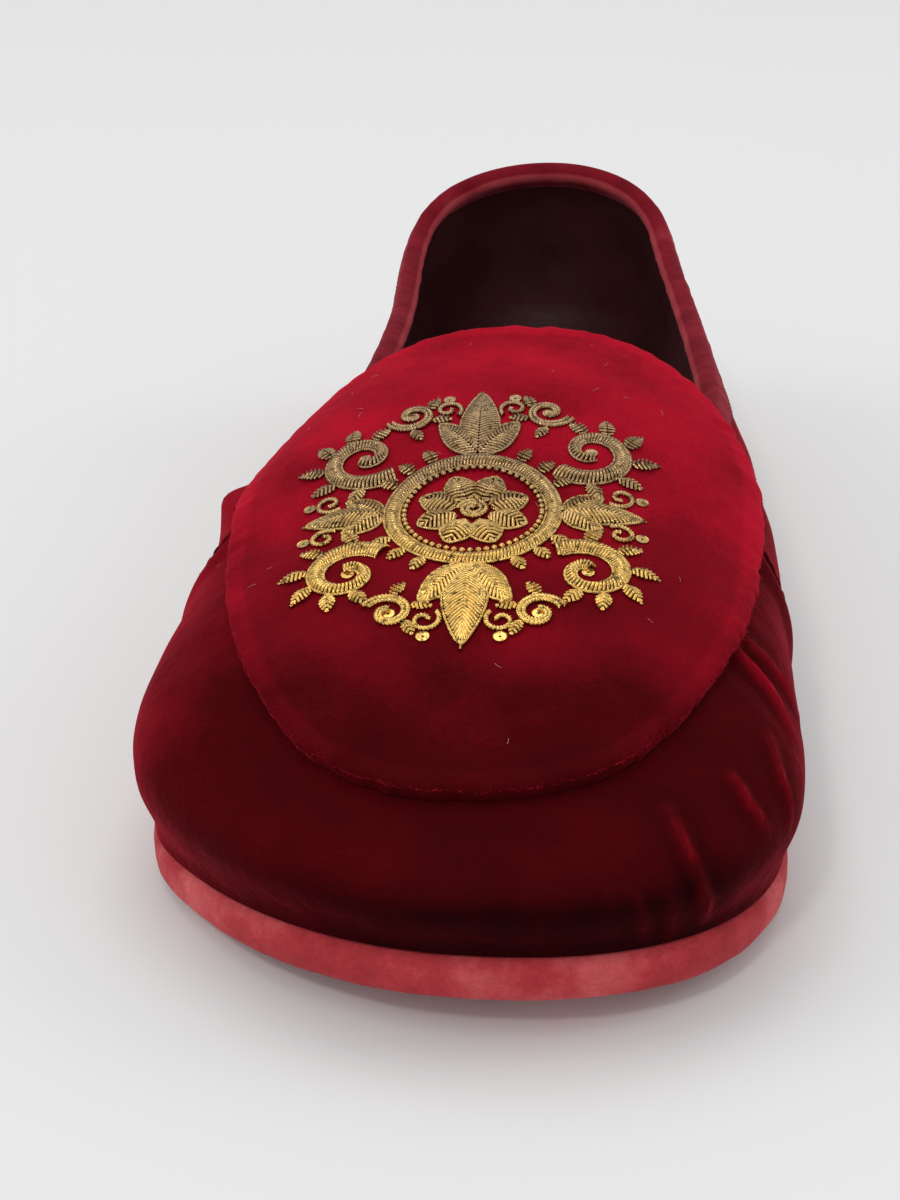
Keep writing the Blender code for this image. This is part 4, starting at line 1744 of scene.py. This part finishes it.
@dataclass
class Sole:
    """The suede-wrapped sole with its round edge, and the low heel."""

    shop: Workshop
    last: Last
    suede: Material
    heel_suede: Material
    edge_round: float = 0.0022
    edge_swell: float = 0.00008
    heel_inset: float = 0.0012
    heel_breast: float = 0.206
    breast_depth: float = 0.006
    heel_chamfer: float = 0.0008

    def rim(self, columns: Columns, inset: float, height: Array) -> Array:
        """One ring of the sole's edge.

        Args:
            columns: Places round the outline.
            inset: Distance in from the margin.
            height: Height at each column.

        Returns:
            Points (column, xyz).
        """
        outer, out = self.last.plan(columns), self.last.outline_normal(columns)
        margin = SmoothCurve(self.last.margin_places, self.last.margins)(outer[:, 1] / self.last.length)
        return np.column_stack([outer + out * (margin - inset)[:, None], height])

    def build(self) -> None:
        """Build the sole and the heel."""
        columns = self.last.loop(44, 0.0022, 22)
        station = self.last.plan(columns)[:, 1]
        top, bottom = self.last.feather(station), self.last.sole_bottom(station)
        angles = np.radians(np.linspace(90, 0, 7))
        rows = []
        drops, inward = self.edge_round * (1 - np.sin(angles)), self.edge_round * (1 - np.cos(angles))
        for drop, inset in zip(drops, inward):
            rows.append(self.rim(columns, inset, top - drop))
        low, high = bottom + self.edge_round, top - self.edge_round
        for share in (0.3, 0.5, 0.7):
            rows.append(self.rim(columns, -self.edge_swell, high + (low - high) * share))
        for drop, inset in zip(drops[::-1], inward[::-1]):
            rows.append(self.rim(columns, inset, bottom + drop))
        grid = np.array(rows)
        normal = grid_normals(grid)
        normal *= np.sign((normal[8, :, :2] * self.last.outline_normal(columns)).sum())
        wave = 0.00013 * soft_noise(grid, 0.018, 41) + 0.00006 * soft_noise(grid, 0.005, 42)
        wave[[0, -1]] = 0
        grid = grid + normal * wave[..., None]
        sole = self.shop.mesh("wrapped_sole", grid, laddered_faces(*grid.shape[:2]), self.suede)
        self.shop.fit(sole, Slot.SOLE, ("outsole",))
        self.build_heel()

    def build_heel(self) -> None:
        """Build the heel lift with its hollow breast."""
        loop = self.last.loop(6, 0.003, 24)
        columns = loop.chosen(self.last.plan(loop)[:, 1] > self.heel_breast + 0.001)
        columns = columns.ended(self.heel_breast, self.heel_breast)
        top = self.last.heel_height - self.last.fit_gap
        soft = self.heel_chamfer
        profile = ((0.0, soft), (soft * 0.3, soft * 0.3), (soft, 0.0), (top - soft, 0.0), (top, soft))
        rings = []
        for height, inward in profile:
            back = self.rim(columns, self.heel_inset + inward, np.full(len(columns), height))
            back[:, 1] = np.maximum(back[:, 1], self.heel_breast + inward)
            share = np.linspace(0.92, -0.92, 24)
            reach = (back[-1, 0] - back[0, 0]) / 2
            middle = (back[-1, 0] + back[0, 0]) / 2
            hollow = self.heel_breast + inward + self.breast_depth * (1 - share**2)
            breast = np.column_stack([middle + share * reach, hollow, np.full(len(share), height)])
            rings.append(np.concatenate([back, breast]))
        grid = np.array(rings)
        heel = self.shop.mesh("heel_lift", grid, capped_faces(*grid.shape[:2]), self.heel_suede)
        self.shop.fit(heel, Slot.HEEL, ("heel",))


@dataclass
class Seams:
    """Stitches along the side seams, the bar tacks at their upper ends, and stray fibres."""

    shop: Workshop
    last: Last
    apron: ApronShape
    upper: Upper
    thread: Material
    lint: Material
    stitch_place: float = 0.0022
    tack_length: float = 0.0052
    tack_width: float = 0.0034
    tack_turns: int = 16
    vamp_fibres: int = 34
    apron_fibres: int = 30
    lint_seed: int = 61

    def build(self) -> None:
        """Build all the sewing."""
        outside, normal, _ = self.upper.shape()
        gap = self.upper.seam_gap(outside)
        self.build_side_seams(outside, normal, gap)
        self.build_lint(outside, normal)

    def seam_line(
        self, side: Side, outside: Array, normal: Array, gap: Array, behind: float
    ) -> tuple[Array, Array]:
        """Points and normals down one side's seam, at a distance behind it.

        Args:
            side: Which side.
            outside: The velvet's points (row, column, xyz).
            normal: Its normals.
            gap: Each point's distance behind the seam.
            behind: The wanted distance.

        Returns:
            Points (row, xyz) and normals (row, xyz), from the sole up.
        """
        mine = np.flatnonzero(self.upper.columns().side == side)
        best = mine[np.abs(gap[:, mine] - behind).argmin(axis=1)]
        row = np.arange(len(best))
        return outside[row, best], normal[row, best]

    def build_side_seams(self, outside: Array, normal: Array, gap: Array) -> None:
        """Stitch the quarters to the vamp and tack the seams' upper ends.

        Args:
            outside: The velvet's points.
            normal: Its normals.
            gap: Each point's distance behind the seam.
        """
        rows, tacks = [], []
        for side in Side:
            line, facing = self.seam_line(side, outside, normal, gap, self.stitch_place)
            open_part = self.apron.share_at(line[:, 0], line[:, 1]) > 1.02
            rows.append((line + facing * 0.00004)[open_part][2:])
            groove, facing = self.seam_line(side, outside, normal, gap, 0.0)
            clear = np.flatnonzero(self.apron.share_at(groove[:, 0], groove[:, 1]) > 1.012)[-1]
            tacks.append(self.tack_path(groove, facing, clear))
        tree = StitchTree(self.thread, "seam_stitch")
        sizes = {"Spacing": 0.0026, "Length share": 0.7, "Thread radius": 0.00018}
        self.shop.grow_along("side_seam_stitches", rows, tree, sizes, Slot.UPPER)
        wire = WireTree(self.thread, "tack_thread")
        sizes = {"Wire radius": 0.00022, "Sample length": 0.0003}
        self.shop.grow_along("bar_tacks", tacks, wire, sizes, Slot.UPPER)

    def tack_path(self, groove: Array, facing: Array, top: int) -> Array:
        """Wind one bar tack's thread to and fro over the seam's upper end.

        Args:
            groove: Points up the seam.
            facing: Normals there.
            top: Number of the seam's upper end.

        Returns:
            The thread's path (point, xyz).
        """
        down = groove[top - 6] - groove[top]
        down /= np.linalg.norm(down)
        out = facing[top]
        across = np.cross(down, out)
        t = np.linspace(0, 1, self.tack_turns * 8)
        wave = np.cos(t * self.tack_turns * np.pi)
        hump = np.sqrt(np.clip(1 - (wave * 0.92) ** 2, 0, 1))
        path = groove[top] + down * (t * self.tack_length)[:, None]
        path = path + across * (wave * self.tack_width / 2)[:, None]
        return path + out * (0.0007 + 0.0006 * hump)[:, None]

    def build_lint(self, outside: Array, normal: Array) -> None:
        """Scatter a few stray fibres over the vamp and the apron.

        Args:
            outside: The velvet's points.
            normal: Its normals.
        """
        rng = np.random.default_rng(self.lint_seed)
        paths = []
        for _ in range(self.vamp_fibres):
            row = rng.integers(18, outside.shape[0] - 18)
            column = rng.integers(0, outside.shape[1])
            paths.append(self.fibre(rng, outside[row, column], normal[row, column]))
        for _ in range(self.apron_fibres):
            spoke, share = rng.uniform(0, 2 * np.pi), rng.uniform(0.2, 0.95)
            plan = self.apron.plan(np.array([spoke]), share)
            spot = self.apron.over(plan, 0.0001)[0]
            paths.append(self.fibre(rng, spot, self.last.normal(plan[0, 0], plan[0, 1])))
        sizes = {"Wire radius": 0.00003, "Sample length": 0.0004}
        self.shop.grow_along("stray_fibres", paths, WireTree(self.lint, "lint_wire"), sizes, Slot.UPPER)

    @staticmethod
    def fibre(rng: np.random.Generator, spot: Array, out: Array) -> Array:
        """Lay one short curled fibre on the pile.

        Args:
            rng: The source of chance.
            spot: Where it starts.
            out: The normal there.

        Returns:
            Its path (point, xyz).
        """
        first = np.cross(out, rng.normal(size=3))
        first /= np.linalg.norm(first)
        second = np.cross(out, first)
        t = np.linspace(0, 1, 8)[:, None]
        reach, bend = rng.uniform(0.0005, 0.0017), rng.uniform(-0.0008, 0.0008)
        arch = out * 0.0003 * t * (1 - t)
        return spot + out * 0.00012 + first * reach * t + second * bend * t * t + arch


@dataclass(frozen=True)
class Leaf:
    """A padded leaf or petal of laid wires, in the design's millimetres."""

    base: tuple[float, float]
    heading: float
    length: float
    half_width: float
    pad: float = 0.9
    spacing: float = 0.66
    fullness: float = 0.8

    def axes(self) -> tuple[Array, Array]:
        """Unit directions along and across the leaf."""
        angle = math.radians(self.heading)
        return np.array([math.cos(angle), math.sin(angle)]), np.array([-math.sin(angle), math.cos(angle)])

    def half(self, t: Reals) -> Array:
        """Half-width at a share of the length."""
        return self.half_width * np.sin(np.pi * np.clip(t, 0, 1) ** self.fullness) ** 0.85

    def wires(self) -> list[Array]:
        """The laid wires, from the midrib slanting forward to both edges.

        Returns:
            Paths (u, v, height) in the design's millimetres.
        """
        along, across = self.axes()
        base = np.array(self.base)
        paths = []
        for t in np.arange(0.03, 0.93, self.spacing / self.length):
            for side in (-1, 1):
                share = np.linspace(0, 1, 5)
                reach = t + 0.13 * share
                half = self.half(reach[-1])
                spots = base + np.outer(reach * self.length, along) + np.outer(side * share * half, across)
                dome = np.sqrt(np.clip(1 - (0.95 * share) ** 2, 0, 1))
                rise = self.pad * dome * np.sin(np.pi * min(t + 0.12, 1))
                paths.append(np.column_stack([spots, 0.15 + rise]))
        return paths

    def outline(self) -> Array:
        """The wire round the leaf.

        Returns:
            Its path (u, v, height) in the design's millimetres.
        """
        along, across = self.axes()
        t = np.concatenate([np.linspace(0, 1, 24), np.linspace(1, 0, 24)[1:]])
        side = np.repeat([1.0, -1.0], [24, 23])
        half = (self.half(t) + 0.25) * side
        spots = np.array(self.base) + np.outer(t * self.length, along) + np.outer(half, across)
        return np.column_stack([spots, np.full(len(t), 0.32)])


def spiral(
    centre: tuple[float, float], start: float, end: float, from_angle: float, turn: float, points: int
) -> Array:
    """A flat spiral.

    Args:
        centre: Its middle, in the design's millimetres.
        start: Its first radius.
        end: Its last radius.
        from_angle: Where it starts, in degrees.
        turn: How far it turns, in degrees, with its sign.
        points: How many points.

    Returns:
        Points (u, v).
    """
    t = np.linspace(0, 1, points)
    radius = start + (end - start) * t**0.85
    angle = np.radians(from_angle + turn * t)
    return np.array(centre) + np.column_stack([radius * np.cos(angle), radius * np.sin(angle)])


def polar(centre: tuple[float, float], radius: float, degrees: float) -> tuple[float, float]:
    """The point at a distance and an angle from a centre."""
    angle = math.radians(degrees)
    return centre[0] + radius * math.cos(angle), centre[1] + radius * math.sin(angle)


@dataclass
class GoldWork:
    """A generic bullion ornament, drawn in millimetres: a rosette, volutes and leaf sprays."""

    shop: Workshop
    apron: ApronShape
    gold: Material
    middle_x: float = -0.0075
    middle_station: float = 0.0735
    rosette: tuple[float, float] = (0.0, 3.0)
    petals: int = 8
    petal_start: float = 3.0
    petal: tuple[float, float] = (6.6, 2.45)
    small_leaf: tuple[float, float] = (3.6, 1.15)
    sprays: tuple[tuple[float, float, float], ...] = (
        (90, 17.5, 3.1),
        (270, 18.5, 3.3),
        (0, 12.6, 2.5),
        (180, 12.6, 2.5),
    )
    bead_ring: float = 11.3
    padded_ring: float = 13.3
    leaf_ring: float = 14.9
    volute_place: tuple[float, float] = (19.0, 16.0)
    volute_radii: tuple[float, float] = (7.4, 1.2)
    volute_turn: float = 430.0
    lobe_radii: tuple[float, float] = (8.6, 1.5)
    branch_place: tuple[float, float] = (11.6, 26.4)
    branch_radii: tuple[float, float] = (4.5, 1.0)
    branch_turn: float = -440.0
    spangle_corners: int = 14
    rope_radius: float = 0.00044
    wire_radius: float = 0.00030
    band_spacing: float = 0.58
    ropes: list[Array] = field(default_factory=list)
    wires: list[Array] = field(default_factory=list)
    thin: list[Array] = field(default_factory=list)
    beads: list[Array] = field(default_factory=list)
    spangles: list[tuple[float, float]] = field(default_factory=list)

    def lay(self, path: Array) -> Array:
        """Lay a path (u, v, height) in millimetres on the apron's velvet, as (x, station, z)."""
        plan = np.column_stack([self.middle_x + path[:, 0] * MM, self.middle_station + path[:, 1] * MM])
        return self.apron.over(plan, path[:, 2] * MM)

    def add_leaf(self, leaf: Leaf, outlined: bool = True) -> None:
        """Fill a leaf with wires.

        Args:
            leaf: The leaf.
            outlined: Also run a thin rope round it.
        """
        self.wires += leaf.wires()
        if outlined:
            self.thin.append(leaf.outline())

    def lay_band(self, middle: Array, widths: tuple[float, float], pad: float) -> None:
        """Fill a tapering band with wires laid slantwise over a padded core, between two thin ropes.

        Args:
            middle: The band's middle line (u, v) in millimetres.
            widths: Its width at the start and at the end.
            pad: How high the core lifts the wires.
        """
        length = np.append(0, np.cumsum(np.linalg.norm(np.diff(middle, axis=0), axis=1)))
        places = np.arange(0.2, length[-1], self.band_spacing)
        spots = np.column_stack([np.interp(places, length, middle[:, axis]) for axis in (0, 1)])
        along = np.gradient(spots, axis=0)
        along /= np.linalg.norm(along, axis=1, keepdims=True)
        side = np.column_stack([-along[:, 1], along[:, 0]])
        half = np.interp(places / length[-1], [0, 1], widths) / 2
        share = np.linspace(-1, 1, 7)
        for spot, ahead, across, reach in zip(spots, along, side, half):
            plan = spot + np.outer(share * reach, across) + np.outer(share * 0.35, ahead)
            self.wires.append(np.column_stack([plan, 0.12 + pad * np.sqrt(1 - (0.97 * share) ** 2)]))
        for lean in (-1, 1):
            edge = spots + side * ((half + 0.30) * lean)[:, None]
            self.thin.append(np.column_stack([edge, np.full(len(edge), 0.30)]))

    def draw_rosette(self) -> None:
        """Eight petals round a coiled eye, inside a ring of beads and a padded ring with small leaves."""
        for k in range(self.petals):
            heading = 360 / self.petals * (k + 0.5)
            base = polar(self.rosette, self.petal_start, heading)
            self.add_leaf(Leaf(base, heading, *self.petal, pad=1.1, fullness=0.95))
        for k in range(12):
            heading = 90 * (k // 3) + 29 + 16 * (k % 3)
            base = polar(self.rosette, self.leaf_ring, heading)
            self.add_leaf(Leaf(base, heading, *self.small_leaf, pad=0.8), outlined=False)
        eye = spiral(self.rosette, 0.35, 2.5, 0, 900, 120)
        self.ropes.append(np.column_stack([eye, np.full(len(eye), 0.7)]))
        ring = spiral(self.rosette, self.bead_ring, self.bead_ring, 0, 357, 140)
        self.beads.append(np.column_stack([ring, np.full(len(ring), 0.45)]))
        ring = spiral(self.rosette, self.padded_ring, self.padded_ring, 0, 359, 200)
        self.lay_band(ring, (1.9, 1.9), 1.0)

    def draw_volutes(self) -> None:
        """Four padded volutes on the diagonals, with leaf lobes along their backs."""
        for right in (-1, 1):
            for up in (-1, 1):
                centre = (right * self.volute_place[0], self.rosette[1] + up * self.volute_place[1])
                start = math.degrees(math.atan2(-up, -right))
                turn = self.volute_turn * right * up
                scroll = spiral(centre, *self.volute_radii, start, turn, 160)
                self.lay_band(scroll, (2.9, 0.9), 1.15)
                outer, inner = self.lobe_radii
                for share in (0.10, 0.19, 0.28, 0.37, 0.46, 0.55):
                    angle = start + turn * share
                    spot = polar(centre, outer + (inner - outer) * share**0.85 + 0.7, angle)
                    heading = angle + 32 * right * up
                    length = 4.6 - 2.2 * abs(share - 0.3)
                    self.add_leaf(Leaf(spot, heading, length, 1.25, pad=0.7), outlined=False)
                self.spangles.append(centre)
                self.draw_branch(right, up)

    def draw_branch(self, right: int, up: int) -> None:
        """Draw a smaller scroll that springs from a volute and curls back beside the upright spray.

        Args:
            right: Its side of the design: -1 or 1.
            up: 1 towards the tongue, -1 towards the toe.
        """
        centre = (right * self.branch_place[0], self.rosette[1] + up * self.branch_place[1])
        outer, inner = self.branch_radii
        start = math.degrees(math.atan2(-up * 0.4, right))
        turn = self.branch_turn * right * up
        for drop in (0.0, 0.9):
            curl = spiral(centre, outer - drop, inner - drop * 0.5, start, turn, 60)
            self.ropes.append(np.column_stack([curl, np.full(len(curl), 0.42)]))
        for share in (0.16, 0.30, 0.44):
            angle = start + turn * share
            spot = polar(centre, outer - (outer - inner) * share**0.85 + 0.6, angle)
            self.add_leaf(Leaf(spot, angle - 30 * right * up, 3.4, 1.0, pad=0.6), outlined=False)
        self.spangles.append(centre)

    def draw_sprays(self) -> None:
        """Four sprays of three leaves on the axes, with curled tendrils and spangles."""
        for heading, length, half in self.sprays:
            angle = math.radians(heading)
            base = polar(self.rosette, self.leaf_ring, heading)
            self.add_leaf(Leaf(base, heading, length, half, pad=1.2))
            for lean in (-38, 38):
                self.add_leaf(Leaf(base, heading + lean, length * 0.62, half * 0.78, pad=0.9))
            for lean in (-1, 1):
                out = np.array([math.cos(angle), math.sin(angle)])
                side = np.array([-math.sin(angle), math.cos(angle)]) * lean
                eye = np.array(base) + out * length * 0.72 + side * (half + 2.6)
                begin = math.degrees(math.atan2(-out[1] - side[1], -out[0] - side[0]))
                curl = spiral((eye[0], eye[1]), 2.6, 0.6, begin, 420 * lean, 50)
                self.ropes.append(np.column_stack([curl, np.full(len(curl), 0.34)]))
                self.spangles.append((eye[0] + out[0] * 3.4, eye[1] + out[1] * 3.4))

    def build(self) -> None:
        """Draw the design and make its wires, ropes, beads and spangles."""
        self.draw_rosette()
        self.draw_volutes()
        self.draw_sprays()
        rope, wire = RopeTree(self.gold), WireTree(self.gold, "laid_wire")
        bead = StitchTree(self.gold, "gold_beads", bead=True)
        jobs = (
            ("gold_ropes", self.ropes, rope, {"Wire radius": self.rope_radius, "Twist pitch": 0.0017}),
            ("gold_thin_ropes", self.thin, rope, {"Wire radius": 0.00030, "Twist pitch": 0.0012}),
            ("gold_laid_wires", self.wires, wire, {"Wire radius": self.wire_radius, "Sample length": 0.0009}),
            ("gold_beads", self.beads, bead, {"Spacing": 0.0013, "Thread radius": 0.00052}),
        )
        for name, paths, tree, sizes in jobs:
            laid = [self.lay(path) for path in paths]
            self.shop.grow_along(name, laid, tree, sizes, Slot.APRON)
        self.build_spangles()

    def build_spangles(self) -> None:
        """Sew a small dished disc with a hole at each spangle's place."""
        points, faces = [], []
        around = self.spangle_corners
        dish = ((0.00022, 0.00018), (0.00050, 0.00004), (0.00085, 0.00010))
        profile = (*dish, (0.00112, 0.00026), (0.00112, 0.00018))
        for u, v in self.spangles:
            spot = self.lay(np.array([[u, v, 0.05]]))[0]
            out = self.apron.last.normal(spot[0], spot[1])
            first = np.cross(out, [0.3, 1.0, 0.0])
            first /= np.linalg.norm(first)
            second = np.cross(out, first)
            start = len(points)
            for radius, height in profile:
                for k in range(around):
                    angle = 2 * math.pi * k / around
                    side = first * math.cos(angle) + second * math.sin(angle)
                    points.append(spot + side * radius + out * height)
            faces += grid_faces(len(profile), around, rolled=True, first=start)
        discs = self.shop.mesh("gold_spangles", np.array(points), faces, self.gold, sharp_angle=80)
        self.shop.fit(discs, Slot.APRON)


@dataclass(frozen=True)
class PhotoCamera:
    """The photograph's camera, turned towards the one shoe and zoomed in on it."""

    position: Point = (0.01991, -0.37309, 0.17519)
    pitch: float = 14.314
    yaw: float = 7.429
    roll: float = 3.010
    focal: float = 1050.0
    aim: tuple[float, float] = (-215.0, 190.0)
    zoom: float = 1.90
    frame_height: float = 1200.0
    sensor: float = 36.0

    def build(self) -> None:
        """Make the camera and let the scene use it."""
        pitch, yaw, roll = (math.radians(angle) for angle in (self.pitch, self.yaw, self.roll))
        level = Vector((math.cos(yaw), -math.sin(yaw), 0))
        ahead = Vector((math.sin(yaw), math.cos(yaw), 0))
        forward = ahead * math.cos(pitch) - Vector((0, 0, 1)) * math.sin(pitch)
        upright = ahead * math.sin(pitch) + Vector((0, 0, 1)) * math.cos(pitch)
        right = level * math.cos(roll) + upright * math.sin(roll)
        up = upright * math.cos(roll) - level * math.sin(roll)
        target = (right * self.aim[0] - up * self.aim[1]) / self.focal + forward
        turn = forward.rotation_difference(target.normalized())
        right, up, forward = turn @ right, turn @ up, turn @ forward
        data = bpy.data.cameras.new("photo_camera")
        data.sensor_width = self.sensor
        data.lens = self.focal * self.zoom * self.sensor / self.frame_height
        data.clip_start = 0.01
        camera = bpy.data.objects.new("photo_camera", data)
        turned = Matrix((right, up, -forward)).transposed().to_4x4()
        camera.matrix_world = Matrix.Translation(self.position) @ turned
        bpy.context.scene.collection.objects.link(camera)
        bpy.context.scene.camera = camera


@dataclass(frozen=True)
class Softbox:
    """One large soft light, aimed at a point."""

    name: str
    position: Point
    power: float
    size: float
    aim: Point = (0.0, -0.02, 0.03)
    tint: Colour = (1.0, 0.99, 0.97)

    def build(self) -> None:
        """Make the light."""
        data = bpy.data.lights.new(self.name, "AREA")
        data.energy, data.size, data.color = self.power, self.size, self.tint
        light = bpy.data.objects.new(self.name, data)
        light.location = self.position
        beam = Vector(self.aim) - Vector(self.position)
        light.rotation_euler = beam.to_track_quat("-Z", "Y").to_euler()
        bpy.context.scene.collection.objects.link(light)


@dataclass
class Studio:
    """A plain pale floor, a pale surround and soft lights."""

    floor_size: float = 14.0
    floor_shade: float = 0.76
    surround: float = 0.60
    boxes: tuple[Softbox, ...] = (
        Softbox("top_box", (-0.25, 0.90, 2.50), 22.0, 2.0),
        Softbox("left_box", (-2.00, -0.20, 1.30), 7.0, 1.2),
        Softbox("right_box", (1.90, 0.40, 1.20), 6.0, 1.0),
        Softbox("front_box", (0.20, -2.40, 1.30), 6.5, 0.8),
        Softbox("glint_box", (-0.35, -0.95, 1.15), 2.6, 0.14),
    )

    def build(self) -> None:
        """Build the floor, the surround and the lights."""
        finish = Graph("pale_floor")
        shade = self.floor_shade
        stops = [(0.0, (shade,) * 3), (1.0, (shade * 1.02,) * 3)]
        finish.colour(finish.ramp(finish.noise(3.0, 2.0), stops))
        finish.constant(Roughness=0.9, Specular_IOR_Level=0.1)
        half = self.floor_size / 2
        mesh = bpy.data.meshes.new("floor")
        corners = [(-half, -half, 0), (half, -half, 0), (half, half, 0), (-half, half, 0)]
        mesh.from_pydata(corners, [], [(0, 1, 2, 3)])
        mesh.materials.append(finish.material)
        floor = bpy.data.objects.new("floor", mesh)
        bpy.context.scene.collection.objects.link(floor)
        world = bpy.data.worlds.new("pale_surround")
        world.use_nodes = True
        back = world.node_tree.nodes["Background"]
        back.inputs["Color"].default_value = (0.97, 0.98, 1.0, 1.0)
        back.inputs["Strength"].default_value = self.surround
        bpy.context.scene.world = world
        for box in self.boxes:
            box.build()


def main() -> None:
    """Build the shoe, the studio and the camera."""
    logging.basicConfig(level=logging.INFO, format="%(name)s: %(message)s")
    bpy.context.scene.view_settings.view_transform = "Standard"
    last = Last()
    apron_shape = ApronShape(last)
    shop = Workshop(Place(last))
    finishes = Finishes.build()
    upper = Upper(shop, last, apron_shape, finishes.vamp)
    upper.build()
    Lining(shop, last, upper, finishes.lining, finishes.footbed).build()
    Apron(shop, apron_shape, finishes.apron, finishes.lining, finishes.pile).build()
    Binding(shop, last, apron_shape, finishes.tape, finishes.thread).build()
    Sole(shop, last, finishes.sole, finishes.heel).build()
    Seams(shop, last, apron_shape, upper, finishes.thread, finishes.lint).build()
    GoldWork(shop, apron_shape, finishes.gold).build()
    Studio().build()
    PhotoCamera().build()
    log.info("%d pieces", len(shop.made))


if __name__ == "__main__":
    main()
